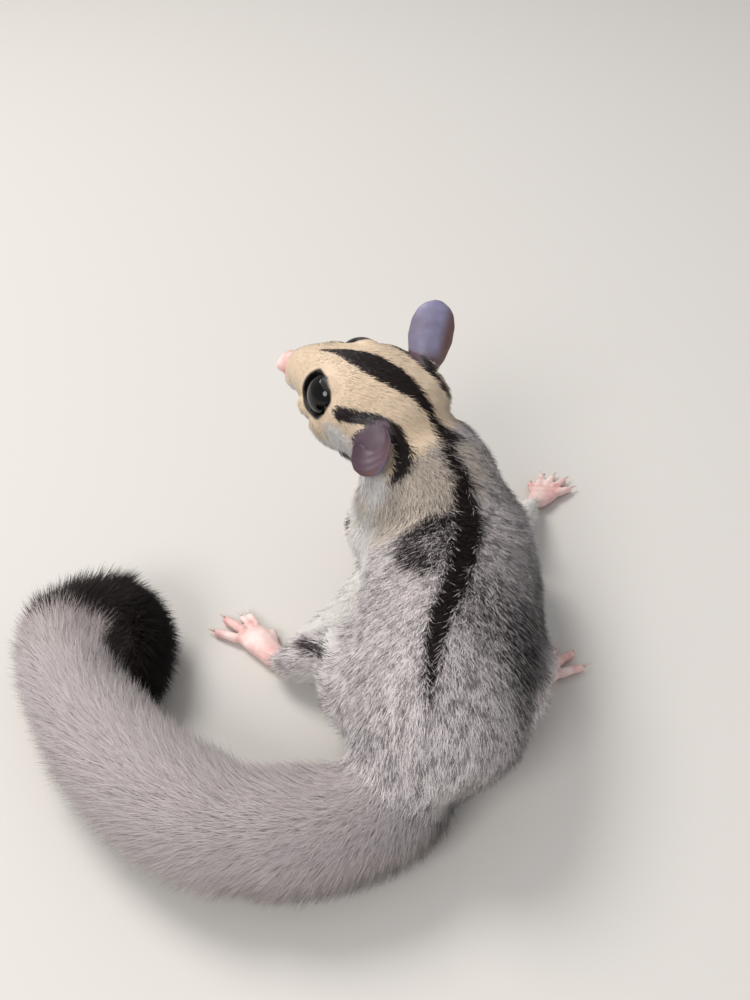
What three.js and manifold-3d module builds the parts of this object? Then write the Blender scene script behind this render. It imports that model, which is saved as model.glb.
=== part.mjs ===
// A life-size sugar glider, standing on four feet with its head turned back to the left and its
// tail curled round on the ground. Millimetres, +Z up. The animal faces +Y.
// Every solid is a lathe profile that is carried along a curve, then parted from its neighbours.

import * as THREE from 'three';
import { mergeVertices } from 'three/addons/utils/BufferGeometryUtils.js';
import Module from 'manifold-3d';

const wasm = await Module();
wasm.setup();

// Driving dimensions
const clearance = 0.3;
const headLength = 47;
const eyeRadius = 5.6;
const eyeSeat = [28.8, 7.6, 2.7];
const earLength = 16;
const earWidth = 12;
const earDepth = 7;
const earWall = 0.8;
const earOpening = { front: 0.4, root: 1.2 };
const noseRadius = 2.3;
const noseDrop = 6.4;
const soleHeight = 2.6;
const toeRadius = 1.35;
const clawLength = 2.4;
const clawRadius = 0.5;
const foldThickness = 2.2;
const groundReach = 400;

// Where the head sits on the neck: its root, and the way that it faces and leans
const headRoot = new THREE.Vector3(15.4, -35.8, 49.2);
const headForward = new THREE.Vector3(-0.821, 0.481, 0.307);
const headLeft = new THREE.Vector3(-0.555, -0.799, -0.232);

const agouti = { colour: 0x9c9498, rough: 0.95 };
const silver = { colour: 0xa79fa6, rough: 0.95 };
const cream = { colour: 0xd8c3a0, rough: 0.95 };
const white = { colour: 0xe4ddd6, rough: 0.95 };
const black = { colour: 0x241b1b, rough: 0.95 };
const pinkSkin = { colour: 0xe0b4ae, rough: 0.6 };
const earSkin = { colour: 0x6d6478, rough: 0.6 };
const eyeGloss = { colour: 0x0b0b10, rough: 0.08 };
const clawHorn = { colour: 0xcdb9a8, rough: 0.45 };

// A unit lathe from 0 to 1 along its axis, with flat or round ends
function unitLathe(sides, rows, roundEnds) {
  const profile = [new THREE.Vector2(0, 0)];
  const first = roundEnds ? 1 : 0;
  for (let row = first; row <= rows - first; row += 1) {
    const share = row / rows;
    const along = roundEnds ? (1 - Math.cos(Math.PI * share)) / 2 : share;
    profile.push(new THREE.Vector2(1, along));
  }
  profile.push(new THREE.Vector2(0, 1));
  const lathe = new THREE.LatheGeometry(profile, sides);
  lathe.deleteAttribute('normal');
  lathe.deleteAttribute('uv');
  return mergeVertices(lathe);
}

// A triangle at a pole of the lathe has two corners in one place, and is left out
function fullTriangles(index) {
  const kept = [];
  for (let i = 0; i < index.length; i += 3) {
    const [a, b, c] = [index[i], index[i + 1], index[i + 2]];
    if (a !== b && b !== c && c !== a) {
      kept.push(a, b, c);
    }
  }
  return new Uint32Array(kept);
}

function toSolid(geometry) {
  const vertProperties = new Float32Array(geometry.attributes.position.array);
  const triVerts = fullTriangles(geometry.index.array);
  const mesh = new wasm.Mesh({ numProp: 3, vertProperties, triVerts });
  return new wasm.Manifold(mesh);
}

function toGeometry(solid) {
  const mesh = solid.getMesh();
  const geometry = new THREE.BufferGeometry();
  geometry.setAttribute('position', new THREE.BufferAttribute(new Float32Array(mesh.vertProperties), 3));
  geometry.setIndex(new THREE.BufferAttribute(new Uint32Array(mesh.triVerts), 1));
  geometry.computeVertexNormals();
  return geometry;
}

// How far a round end has opened at a place along the lathe
function endRounding(along, cap) {
  const nearest = Math.min(along, 1 - along);
  const inset = Math.max(0, 1 - nearest / cap);
  return Math.sqrt(1 - inset * inset);
}

// A body skinned along its rings. Each ring is [x, y, z, half width, rise above, drop below].
// grow makes it larger all round, for cutting a neighbour clear of it.
function skinned(shape, grow = 0) {
  const { rings, sides = 16, rows = 12, cap = 0.25, roundEnds = true } = shape;
  const upward = shape.up ?? new THREE.Vector3(0, 0, 1);
  const path = new THREE.CatmullRomCurve3(rings.map((r) => new THREE.Vector3(r[0], r[1], r[2])));
  const sizes = new THREE.CatmullRomCurve3(rings.map((r) => new THREE.Vector3(r[3], r[4], r[5])));
  const geometry = unitLathe(sides, rows, roundEnds);
  const position = geometry.attributes.position;
  const spot = new THREE.Vector3();
  for (let i = 0; i < position.count; i += 1) {
    spot.fromBufferAttribute(position, i);
    const along = spot.y;
    const centre = path.getPoint(along);
    const size = sizes.getPoint(along);
    const tangent = path.getTangent(along);
    const side = new THREE.Vector3().crossVectors(tangent, upward).normalize();
    const rise = new THREE.Vector3().crossVectors(side, tangent);
    const open = roundEnds ? endRounding(along, cap) : 1;
    const tall = spot.z > 0 ? size.y : size.z;
    centre.addScaledVector(side, spot.x * (size.x * open + grow));
    centre.addScaledVector(rise, spot.z * (tall * open + grow));
    centre.addScaledVector(tangent, grow * (2 * along - 1));
    position.setXYZ(i, centre.x, centre.y, centre.z);
  }
  return toSolid(geometry);
}

function joined(shapes, grow = 0) {
  return shapes.map((shape) => skinned(shape, grow)).reduce((a, b) => a.add(b));
}

function ball(radius, [x, y, z], sides = 16) {
  const geometry = new THREE.SphereGeometry(radius, sides, sides / 2);
  geometry.translate(x, y, z);
  geometry.deleteAttribute('normal');
  geometry.deleteAttribute('uv');
  return toSolid(mergeVertices(geometry));
}

function block(low, high) {
  const size = high.map((value, axis) => value - low[axis]);
  const geometry = new THREE.BoxGeometry(...size);
  geometry.translate(...high.map((value, axis) => (value + low[axis]) / 2));
  geometry.deleteAttribute('normal');
  geometry.deleteAttribute('uv');
  return toSolid(mergeVertices(geometry));
}

const aboveGround = block([-groundReach, -groundReach, 0], [groundReach, groundReach, groundReach]);

// What is left of a solid clear of others: its largest piece
function parted(solid, others) {
  const left = others.reduce((rest, other) => rest.subtract(other), solid);
  const pieces = left.decompose();
  return pieces.reduce((a, b) => (a.volume() > b.volume() ? a : b));
}

function grounded(solid) {
  return solid.intersect(aboveGround);
}

function named(name, solid, { colour, rough }) {
  const material = new THREE.MeshStandardMaterial({ color: colour, roughness: rough, metalness: 0 });
  const mesh = new THREE.Mesh(toGeometry(solid), material);
  mesh.name = name;
  return mesh;
}

function placed(solid, group) {
  group.updateMatrix();
  return solid.transform(group.matrix.elements);
}

// Head, in its own frame: x forward from the back of the skull, y left, z up

const skull = {
  rings: [
    [0, 0, 0, 15.2, 12.2, 12.4],
    [7, 0, 0.2, 16.7, 13.2, 13.4],
    [13.5, 0, 0.3, 17.5, 13.8, 13.8],
    [20, 0, 0, 17.3, 13.6, 13.6],
    [26.5, 0, -0.6, 15.0, 12.4, 12.5],
    [32.5, 0, -1.8, 11.6, 10.2, 10.3],
    [38, 0, -3.4, 7.9, 7.4, 7.7],
    [42.5, 0, -5.4, 5.4, 5.4, 5.2],
    [headLength - 0.8, 0, -6.8, 4.0, 3.9, 3.8],
  ],
  sides: 18,
  rows: 15,
  cap: 0.17,
};

// Stations along an ear: share of its length, of its width and of its depth, and share of its bend
const earStations = [
  { along: -0.19, width: 0.62, depth: 0.45, lean: 0 },
  { along: 0.22, width: 0.86, depth: 0.5, lean: 0 },
  { along: 0.5, width: 1, depth: 0.48, lean: 0.3 },
  { along: 0.76, width: 0.9, depth: 0.4, lean: 0.7 },
  { along: 1, width: 0.62, depth: 0.3, lean: 1 },
];

// The outer form of an ear along its own z from root to tip, or one that lies inset from it
function earHull(bend, inset) {
  const rings = earStations.map(({ along, width, depth, lean }) => {
    const half = (earWidth / 2) * width - inset;
    const deep = earDepth * depth - inset;
    return [-bend * lean, 0, earLength * along, half, deep, deep];
  });
  return skinned({ rings, sides: 12, rows: 6, cap: 0.28, up: new THREE.Vector3(1, 0, 0) });
}

// The ear is a cup, its hollow facing its own x
function earCup(bend) {
  const low = [earOpening.front - bend / 2, -earWidth, earOpening.root];
  const front = block(low, [earLength, earWidth, 2 * earLength]);
  return earHull(bend, 0).subtract(earHull(bend, earWall)).subtract(front);
}

function earGroup(root, tip, facing) {
  const length = new THREE.Vector3().subVectors(tip, root).normalize();
  const face = facing.clone().addScaledVector(length, -facing.dot(length)).normalize();
  const across = new THREE.Vector3().crossVectors(length, face);
  const group = new THREE.Group();
  const turn = new THREE.Matrix4().makeBasis(face, across, length);
  group.quaternion.setFromRotationMatrix(turn);
  group.position.copy(root);
  return group;
}

const ears = [
  {
    name: 'ear_left',
    root: new THREE.Vector3(13.0, 13.0, 7.2),
    tip: new THREE.Vector3(4.6, 23.6, 11.4),
    facing: new THREE.Vector3(0.3, 0.55, 0.8),
    bend: -1.6,
  },
  {
    name: 'ear_right',
    root: new THREE.Vector3(13.4, -13.0, 7.4),
    tip: new THREE.Vector3(19.0, -24.4, 15.4),
    facing: new THREE.Vector3(0.5, -0.6, -0.6),
    bend: 1.2,
  },
];

function buildHead() {
  const group = new THREE.Group();
  const up = new THREE.Vector3().crossVectors(headForward, headLeft).normalize();
  const left = new THREE.Vector3().crossVectors(up, headForward).normalize();
  const turn = new THREE.Matrix4().makeBasis(headForward.clone().normalize(), left, up);
  group.quaternion.setFromRotationMatrix(turn);
  group.position.copy(headRoot);

  const nosePlace = [headLength - noseRadius / 2, 0, -noseDrop];
  const seats = [1, -1].map((side) => [eyeSeat[0], side * eyeSeat[1], eyeSeat[2]]);
  const sockets = seats.map((seat) => ball(eyeRadius + clearance, seat));
  const flesh = parted(skinned(skull), [...sockets, ball(noseRadius + clearance, nosePlace, 12)]);
  const grownHead = skinned(skull, clearance);
  group.add(named('head', flesh, cream));
  group.add(named('eye_left', ball(eyeRadius, seats[0]), eyeGloss));
  group.add(named('eye_right', ball(eyeRadius, seats[1]), eyeGloss));
  group.add(named('nose', ball(noseRadius, nosePlace, 12), pinkSkin));
  const earCutters = ears.map((ear) => {
    const holder = earGroup(ear.root, ear.tip, ear.facing);
    const cup = parted(placed(earCup(ear.bend), holder), [grownHead]);
    group.add(named(ear.name, cup, earSkin));
    return placed(placed(earHull(ear.bend, -clearance), holder), group);
  });
  return { group, cutter: placed(grownHead, group), earCutters };
}

// Trunk and neck, each a row of rings from the rump forward

const trunk = {
  rings: [
    [13.0, -122.5, 20, 13, 13, 12],
    [13.0, -113, 23.5, 18.5, 18, 17],
    [13.6, -102, 25.5, 21.5, 21.5, 19.5],
    [15.2, -90, 27, 22.5, 22, 21],
    [17.4, -77, 28.5, 22.5, 22, 22],
    [18.4, -64, 29.5, 22, 22, 22.5],
    [17.4, -51, 30, 21.5, 21, 22],
    [15.0, -39, 29, 19, 18, 19],
    [13.0, -29, 27, 14.5, 13, 14],
  ],
  sides: 20,
  rows: 16,
  cap: 0.16,
};

const neck = {
  rings: [
    [17.6, -60, 33, 18, 17, 17],
    [16.0, -51, 38, 18.4, 17, 17],
    [12.4, -43, 42, 18.8, 16.5, 17],
    [8.0, -36.5, 45.5, 18.6, 15.5, 16.5],
    [2.4, -31, 47, 15, 13, 14],
  ],
  sides: 14,
  rows: 6,
  cap: 0.2,
};

// Tail: one curve on the ground, parted into lengths

const tailRings = [
  [12.6, -103, 21, 13, 12, 13],
  [8.6, -111.5, 17, 13.8, 13.5, 14.5],
  [0.8, -118.2, 15, 13.8, 13.8, 14.8],
  [-10, -123, 14.2, 13.8, 14, 14.6],
  [-22.2, -124.8, 14, 13.8, 14.2, 14.4],
  [-34.8, -121.8, 13.8, 14.2, 14.2, 14.2],
  [-47.6, -114, 13.4, 13.8, 13.8, 13.8],
  [-59.6, -102.4, 12.8, 13, 13.2, 13.2],
  [-70, -88, 12.2, 12, 12.6, 12.6],
  [-77, -74, 11.4, 11.2, 11.8, 11.8],
  [-79, -64.6, 10.8, 10, 11.2, 11.2],
  [-69.6, -56.4, 10.4, 9.2, 10.6, 10.6],
  [-60.4, -64.6, 10.2, 8.8, 10.4, 10.4],
  [-59.2, -74, 9.8, 8.6, 10, 10],
  [-59.6, -84.5, 8.8, 7.6, 9, 9.2],
];

// A length runs between two places on the curve, counted in rings. The last starts inside the one
// before it, so that its own round end shows only at the tip.
const tailLengths = [
  { name: 'tail_base', from: 0, to: 4, finish: silver },
  { name: 'tail_middle', from: 4, to: 7, finish: silver },
  { name: 'tail_end', from: 7, to: 11, finish: silver },
  { name: 'tail_tip', from: 10.2, to: 14, roundEnds: true, finish: black },
];

const tailPath = new THREE.CatmullRomCurve3(tailRings.map((r) => new THREE.Vector3(r[0], r[1], r[2])));
const tailSizes = new THREE.CatmullRomCurve3(tailRings.map((r) => new THREE.Vector3(r[3], r[4], r[5])));

function tailShape({ from, to, roundEnds = false }) {
  const last = tailRings.length - 1;
  const stops = Math.ceil((to - from) * 2);
  const rings = [];
  for (let stop = 0; stop <= stops; stop += 1) {
    const share = (from + (to - from) * (stop / stops)) / last;
    rings.push([...tailPath.getPoint(share).toArray(), ...tailSizes.getPoint(share).toArray()]);
  }
  return { rings, sides: 16, rows: roundEnds ? 12 : stops, cap: 0.2, roundEnds };
}

function buildTail(trunkCutter) {
  const solids = tailLengths.map((length) => skinned(tailShape(length)));
  const cutters = tailLengths.map((length) => skinned(tailShape(length), clearance));
  return tailLengths.map((length, i) => {
    const before = i === 0 ? [trunkCutter] : [cutters[i - 1], solids[i - 1]];
    return named(length.name, parted(grounded(solids[i]), before), length.finish);
  });
}

// Paws, each in its own frame: x along the paw, y to its left, z up from the ground

// Places along a toe from root to tip: share of its length, height, and share of its radius
const toeStations = [
  { along: 0, lift: 2.0, radius: 1.1 },
  { along: 0.35, lift: 2.4, radius: 1 },
  { along: 0.7, lift: 1.5, radius: 0.86 },
  { along: 1, lift: 1.1, radius: 1 },
];

// The same along a claw, counted from the toe's tip
const clawStations = [
  { along: -0.25, lift: 1.7, radius: 1 },
  { along: 0.35, lift: 1.6, radius: 0.8 },
  { along: 0.8, lift: 0.6, radius: 0.5 },
];

function digitShape({ root, tip, thick = 1 }) {
  const rings = toeStations.map(({ along, lift, radius }) => {
    const r = toeRadius * thick * radius;
    const x = THREE.MathUtils.lerp(root[0], tip[0], along);
    const y = THREE.MathUtils.lerp(root[1], tip[1], along);
    return [x, y, lift, r, r, r];
  });
  return { rings, sides: 6, rows: 4, cap: 0.2 };
}

function clawShape({ root, tip, thick = 1 }) {
  const away = new THREE.Vector2(tip[0] - root[0], tip[1] - root[1]).normalize();
  const rings = clawStations.map(({ along, lift, radius }) => {
    const r = clawRadius * thick * radius;
    return [tip[0] + away.x * clawLength * along, tip[1] + away.y * clawLength * along, lift, r, r, r];
  });
  return { rings, sides: 5, rows: 3, cap: 0.3 };
}

const handForm = {
  palm: [
    [-6, 0, 4.4, 2.6, 2.4, 2.6],
    [-1.5, 0, soleHeight, 3.4, 2.0, 2.6],
    [3.2, 0, soleHeight * 0.85, 4.2, 1.7, 2.3],
    [5.6, 0, 1.9, 3.6, 1.3, 1.9],
  ],
  digits: [
    { root: [0.4, 3.0], tip: [5.2, 6.6], thick: 0.86 },
    { root: [3.6, 2.8], tip: [10.6, 5.2] },
    { root: [4.4, 1.0], tip: [12.6, 1.9] },
    { root: [4.4, -1.0], tip: [13.0, -1.9] },
    { root: [3.2, -2.8], tip: [10.0, -5.4] },
  ],
};

const footForm = {
  palm: [
    [-11, 0, 4.2, 2.6, 3.0, 3.6],
    [-6, 0.2, 3.0, 3.2, 2.6, 3.0],
    [0, 0.3, soleHeight, 4.2, 2.2, 2.6],
    [4.6, 0, soleHeight * 0.85, 4.4, 1.8, 2.3],
    [6.6, 0, 1.9, 3.8, 1.3, 1.9],
  ],
  digits: [
    { root: [5.2, 2.6], tip: [12.2, 3.8], thick: 0.9 },
    { root: [5.4, 1.4], tip: [12.8, 1.6], thick: 0.9 },
    { root: [5.4, -0.8], tip: [15.0, -2.4], thick: 1.08 },
    { root: [4.0, -3.0], tip: [12.4, -7.2], thick: 1.04 },
  ],
  thumb: { root: [-2.6, 2.4], tip: [3.4, 5.6], thick: 1.2 },
};

// A paw for the right side is drawn above, and the left one is its mirror image
function sided(form, side) {
  const flip = ([x, y, ...rest]) => [x, y * side, ...rest];
  const flipDigit = (digit) => ({ ...digit, root: flip(digit.root), tip: flip(digit.tip) });
  return {
    palm: form.palm.map(flip),
    digits: form.digits.map(flipDigit),
    thumb: form.thumb && flipDigit(form.thumb),
  };
}

function pawSolid(form, grow) {
  const shapes = form.digits.concat(form.thumb ?? []).map(digitShape);
  return joined([{ rings: form.palm, sides: 10, rows: 6, cap: 0.3 }, ...shapes], grow);
}

function buildPaw({ name, form, side, at, heading }) {
  const group = new THREE.Group();
  group.position.set(at[0], at[1], 0);
  group.rotation.z = THREE.MathUtils.degToRad(heading);
  const own = sided(form, side);
  const cutter = pawSolid(own, clearance);
  group.add(named(name, grounded(pawSolid(own, 0)), pinkSkin));
  own.digits.forEach((digit, i) => {
    const claw = parted(grounded(skinned(clawShape(digit))), [cutter]);
    group.add(named(`${name}_claw_${i + 1}`, claw, clawHorn));
  });
  return { group, cutter: placed(cutter, group) };
}

const paws = {
  handLeft: { name: 'hand_left', form: handForm, side: -1, at: [4.5, 3.6, 0], heading: 98 },
  handRight: { name: 'hand_right', form: handForm, side: 1, at: [50.2, -1.2, 0], heading: 56 },
  footLeft: { name: 'foot_left', form: footForm, side: -1, at: [-29.8, -61.2, 0], heading: 127 },
  footRight: { name: 'foot_right', form: footForm, side: 1, at: [40.7, -73.2, 0], heading: 52 },
};

// Legs: an upper row of rings from the body, and a lower one down to the wrist or ankle

const legs = [
  {
    name: 'fore_leg_left',
    paw: 'handLeft',
    upper: [
      [4, -46, 30, 12, 13, 13],
      [-0.4, -39, 22, 8.4, 9.5, 9],
      [-1.4, -29, 14, 6, 6.4, 6.4],
    ],
    lower: [
      [-1.4, -31, 14, 6, 6.4, 6.4],
      [0.6, -17, 9, 4.4, 4.8, 4.8],
      [3.4, -5, 5, 3.2, 3.2, 3.4],
      [4.2, 0, 3.8, 2.6, 2.2, 2.4],
    ],
  },
  {
    name: 'fore_leg_right',
    paw: 'handRight',
    upper: [
      [28, -50, 29, 12, 12, 12],
      [33, -40, 21, 9, 10, 10],
      [37, -30, 13.5, 6.4, 7, 7],
    ],
    lower: [
      [36.6, -31, 13.5, 6.4, 7, 7],
      [41.6, -19, 8.6, 4.6, 5, 5],
      [46.2, -8.6, 5.0, 3.2, 3.2, 3.4],
      [48, -4.6, 3.9, 2.6, 2.2, 2.4],
    ],
  },
  {
    name: 'hind_leg_left',
    paw: 'footLeft',
    upper: [
      [4, -100, 24, 14, 16, 15],
      [-2.6, -88, 20, 12, 13.5, 13.5],
      [-8.4, -74, 15.5, 8.6, 9.5, 10],
    ],
    lower: [
      [-6, -76, 15.5, 8.4, 9, 9.5],
      [-15.6, -73, 10.5, 7, 7.2, 8],
      [-22.4, -71.4, 6.6, 4.8, 4.6, 5],
      [-25.0, -68.2, 5.0, 3.2, 2.8, 3.4],
    ],
  },
  {
    name: 'hind_leg_right',
    paw: 'footRight',
    upper: [
      [23, -98, 24, 14, 16, 15],
      [30, -86, 20, 12.5, 13.5, 13.5],
      [35.4, -72, 16, 8.6, 9.5, 10],
    ],
    lower: [
      [35, -73, 16, 8, 8.5, 8.5],
      [36.4, -78.6, 10, 6.4, 6.4, 7],
      [36.4, -81.6, 5.8, 4.2, 4, 4.6],
    ],
  },
];

// The gliding skin lies folded along each flank, from the elbow back to the ankle
const folds = [
  {
    name: 'patagium_left',
    rings: [
      [-1, -38, 13, 4, foldThickness, foldThickness],
      [-2.5, -49, 12, 6, foldThickness, foldThickness],
      [-7.5, -60, 10.5, 8, foldThickness, foldThickness],
      [-15, -65.5, 8.5, 7, foldThickness, foldThickness],
      [-22.5, -67.5, 6.5, 3.5, foldThickness, foldThickness],
    ],
  },
  {
    name: 'patagium_right',
    rings: [
      [37, -31, 12, 4, foldThickness, foldThickness],
      [38.5, -42, 12, 4.8, foldThickness, foldThickness],
      [39, -54, 12, 5, foldThickness, foldThickness],
      [40, -64, 11, 4.5, foldThickness, foldThickness],
      [40.5, -72, 8, 3, foldThickness, foldThickness],
    ],
  },
];

function legSolid({ upper, lower }, grow = 0) {
  return joined([upper, lower].map((rings) => ({ rings, sides: 12, rows: 5, cap: 0.2 })), grow);
}

function foldSolid({ rings }) {
  return skinned({ rings, sides: 10, rows: 7, cap: 0.2 });
}

function buildAnimal() {
  const animal = new THREE.Group();
  const head = buildHead();
  const trunkCutter = skinned(trunk, clearance);
  const neckCutter = skinned(neck, clearance);
  animal.add(head.group);
  animal.add(named('trunk', parted(skinned(trunk), [head.cutter]), agouti));
  const neckNeighbours = [head.cutter, trunkCutter, ...head.earCutters];
  animal.add(named('neck', parted(skinned(neck), neckNeighbours), agouti));
  animal.add(...buildTail(trunkCutter));

  const pawCutters = {};
  for (const [key, paw] of Object.entries(paws)) {
    const built = buildPaw(paw);
    pawCutters[key] = built.cutter;
    animal.add(built.group);
  }
  const bodyCutters = [head.cutter, trunkCutter, neckCutter, skinned(tailShape(tailLengths[0]), clearance)];
  for (const leg of legs) {
    const own = parted(grounded(legSolid(leg)), [...bodyCutters, pawCutters[leg.paw]]);
    animal.add(named(leg.name, own, agouti));
  }
  const limbCutters = [...legs.map((leg) => legSolid(leg, clearance)), ...Object.values(pawCutters)];
  for (const fold of folds) {
    const own = parted(grounded(foldSolid(fold)), [...bodyCutters, ...limbCutters]);
    animal.add(named(fold.name, own, white));
  }
  return animal;
}

// The origin is under the middle of the whole animal, on the ground
function centred(animal) {
  const part = new THREE.Group();
  part.add(animal);
  part.updateMatrixWorld(true);
  const box = new THREE.Box3().setFromObject(animal, true);
  const middle = box.getCenter(new THREE.Vector3());
  animal.position.set(-middle.x, -middle.y, -box.min.z);
  return part;
}

export default centred(buildAnimal());
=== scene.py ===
# A sugar glider at life size, standing with its head turned back and its tail curled on the ground.
# One skin lies inside the solids by the depth of the coat, and the coat is tufts of solid mesh on it.

import math

import bmesh
import bpy
import numpy as np
from mathutils import Matrix, Vector
from mathutils.bvhtree import BVHTree
from mathutils.kdtree import KDTree


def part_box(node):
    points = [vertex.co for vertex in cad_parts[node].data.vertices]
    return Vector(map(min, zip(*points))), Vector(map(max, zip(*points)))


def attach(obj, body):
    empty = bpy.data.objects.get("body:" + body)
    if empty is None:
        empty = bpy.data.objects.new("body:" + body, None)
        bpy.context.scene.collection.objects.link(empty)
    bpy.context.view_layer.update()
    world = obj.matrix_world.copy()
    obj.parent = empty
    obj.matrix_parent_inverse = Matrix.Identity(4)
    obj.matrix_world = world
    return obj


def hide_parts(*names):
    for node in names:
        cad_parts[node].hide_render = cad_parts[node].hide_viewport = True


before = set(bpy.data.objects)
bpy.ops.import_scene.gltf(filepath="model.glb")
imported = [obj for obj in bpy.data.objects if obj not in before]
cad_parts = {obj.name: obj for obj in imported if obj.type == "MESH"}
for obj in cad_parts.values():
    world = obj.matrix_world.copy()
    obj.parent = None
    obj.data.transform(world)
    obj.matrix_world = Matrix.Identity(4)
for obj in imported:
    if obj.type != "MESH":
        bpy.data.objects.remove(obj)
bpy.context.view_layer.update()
mm = 0.001
dice = np.random.default_rng(11)

# Places

# The head's own frame, x forward, y left and z up, is found from the eyes and the nose.
# poseRoot is the root of the head in the pose that the paths below are written in, in millimetres.
headPlan = {
    "eyeForward": 28.8,
    "eyeAside": 7.6,
    "eyeRise": 2.7,
    "eyeRadius": 5.6,
    "eyeFlat": 0.86,
    "noseForward": 45.85,
    "noseDrop": 6.4,
    "poseRoot": (15.4, -35.8, 49.2),
}


def boxMiddle(node):
    low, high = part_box(node)
    return (low + high) / 2


def findHead():
    eyeLeft = boxMiddle("eye_left")
    eyeRight = boxMiddle("eye_right")
    nose = boxMiddle("nose")
    left = (eyeLeft - eyeRight).normalized()
    between = (eyeLeft + eyeRight) / 2
    reach = nose - between
    reach = (reach - left * reach.dot(left)).normalized()
    lift = reach.cross(left)
    ahead = headPlan["noseForward"] - headPlan["eyeForward"]
    below = -headPlan["noseDrop"] - headPlan["eyeRise"]
    tilt = math.atan2(below, ahead)
    forward = reach * math.cos(tilt) - lift * math.sin(tilt)
    up = reach * math.sin(tilt) + lift * math.cos(tilt)
    root = between - forward * headPlan["eyeForward"] * mm - up * headPlan["eyeRise"] * mm
    place = Matrix((forward, left, up)).transposed().to_4x4()
    place.translation = root
    return place


headPlace = findHead()
headTurn = np.array(headPlace.to_3x3())
headRoot = np.array(headPlace.translation)
poseShift = headRoot - np.array(headPlan["poseRoot"]) * mm


def fromHead(points):
    return headRoot + (np.atleast_2d(points) * mm) @ headTurn.T


def toHead(points):
    return (points - headRoot) @ headTurn / mm


def fromPose(points):
    return np.atleast_2d(points) * mm + poseShift


# The way that the hair lies: from the nose over the back to the rump, down each leg, out along the tail
spine = [
    (16.4, -51, 38), (18.4, -62, 31), (17.4, -77, 28.5), (15.2, -90, 27), (13.6, -102, 25.5), (12, -116, 22),
]
tail = [
    (12.6, -103, 21), (8.6, -111.5, 17), (0.8, -118.2, 15), (-10, -123, 14.2), (-22.2, -124.8, 14),
    (-34.8, -121.8, 13.8), (-47.6, -114, 13.4), (-59.6, -102.4, 12.8), (-70, -88, 12.2), (-77, -74, 11.4),
    (-79, -64.6, 10.8), (-69.6, -56.4, 10.4), (-60.4, -64.6, 10.2), (-59.2, -74, 9.8), (-59.6, -86, 8.8),
]
paths = {
    "head": [(-24.5, -11.9, 57.8), (15.4, -35.8, 49.2)],
    "neck": [(4.0, -31.5, 49), (9.6, -36, 47), (13.4, -43, 43), (16.4, -51, 38), (17.6, -60, 33)],
    "trunk": spine,
    "tail": tail,
    "fore_leg_left": [(4, -46, 30), (-1.4, -29, 14), (3.4, -5, 5), (4.5, 12, 2)],
    "fore_leg_right": [(28, -50, 29), (37, -30, 13.5), (46.2, -8.6, 5), (56, 6, 2)],
    "hind_leg_left": [(4, -100, 24), (-8, -75, 15.5), (-22.4, -71.4, 6.6), (-40, -50, 2)],
    "hind_leg_right": [(23, -98, 24), (35.4, -72, 16), (37, -80, 6), (52, -60, 2)],
    "patagium_left": [(8, -40, 16), (-2.5, -49, 12), (-7.5, -60, 10.5), (-22.5, -67.5, 6.5)],
    "patagium_right": [(36, -31, 13), (38.5, -42, 12), (39, -54, 12), (40.5, -72, 8)],
}


# Places along each path, and over how many of them its corners are rounded
pathPlan = {"count": 120, "tailCount": 160, "blur": 9, "stride": 3}


def alongPath(name, count=pathPlan["count"]):
    corners = fromPose(paths[name])
    steps = np.linalg.norm(np.diff(corners, axis=0), axis=1)
    reach = np.concatenate([[0], np.cumsum(steps)])
    places = np.linspace(0, reach[-1], count)
    line = np.stack([np.interp(places, reach, corners[:, axis]) for axis in range(3)], axis=1)
    blur = pathPlan["blur"]
    kernel = np.ones(blur) / blur
    padded = np.pad(line, ((blur // 2, blur // 2), (0, 0)), mode="edge")
    soft = np.stack([np.convolve(padded[:, axis], kernel, mode="valid") for axis in range(3)], axis=1)
    soft[0], soft[-1] = line[0], line[-1]
    ways = np.gradient(soft, axis=0)
    ways /= np.linalg.norm(ways, axis=1, keepdims=True)
    return soft, ways, places


# Camera, light and floor

# The photo was taken with a lens of 1100 pixels for its 1000 pixel height, 335 mm from the ground
cameraPlan = {"reach": 335, "pitch": 40, "lens": 39.6, "sensor": 36, "near": 10}


def makeCamera():
    data = bpy.data.cameras.new("camera")
    data.lens = cameraPlan["lens"]
    data.sensor_width = cameraPlan["sensor"]
    data.clip_start = cameraPlan["near"] * mm
    camera = bpy.data.objects.new("camera", data)
    bpy.context.scene.collection.objects.link(camera)
    pitch = math.radians(cameraPlan["pitch"])
    back = Vector((0, -math.cos(pitch), math.sin(pitch))) * cameraPlan["reach"] * mm
    camera.location = Vector(poseShift) + back
    camera.rotation_euler = (math.pi / 2 - pitch, 0, 0)
    bpy.context.scene.camera = camera


lightPlan = {
    "sky": (0.97, 0.98, 1.0),
    "skyStrength": 0.50,
    "key": {"place": (-0.45, 0.38, 0.85), "size": 0.5, "power": 6.8, "colour": (1.0, 0.965, 0.92)},
    "fill": {"place": (-0.35, -0.65, 0.6), "size": 0.4, "power": 4.2, "colour": (1.0, 0.985, 0.97)},
}


def makeLight(name):
    plan = lightPlan[name]
    data = bpy.data.lights.new(name, "AREA")
    data.shape = "DISK"
    data.size = plan["size"]
    data.energy = plan["power"]
    data.color = plan["colour"]
    lamp = bpy.data.objects.new(name, data)
    bpy.context.scene.collection.objects.link(lamp)
    lamp.location = plan["place"]
    lamp.rotation_euler = (-Vector(plan["place"])).to_track_quat("-Z", "Y").to_euler()


def makeWorld():
    world = bpy.data.worlds.new("sky")
    world.use_nodes = True
    back = world.node_tree.nodes["Background"]
    back.inputs["Color"].default_value = (*lightPlan["sky"], 1)
    back.inputs["Strength"].default_value = lightPlan["skyStrength"]
    bpy.context.scene.world = world
    bpy.context.scene.view_settings.view_transform = "Standard"


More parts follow.
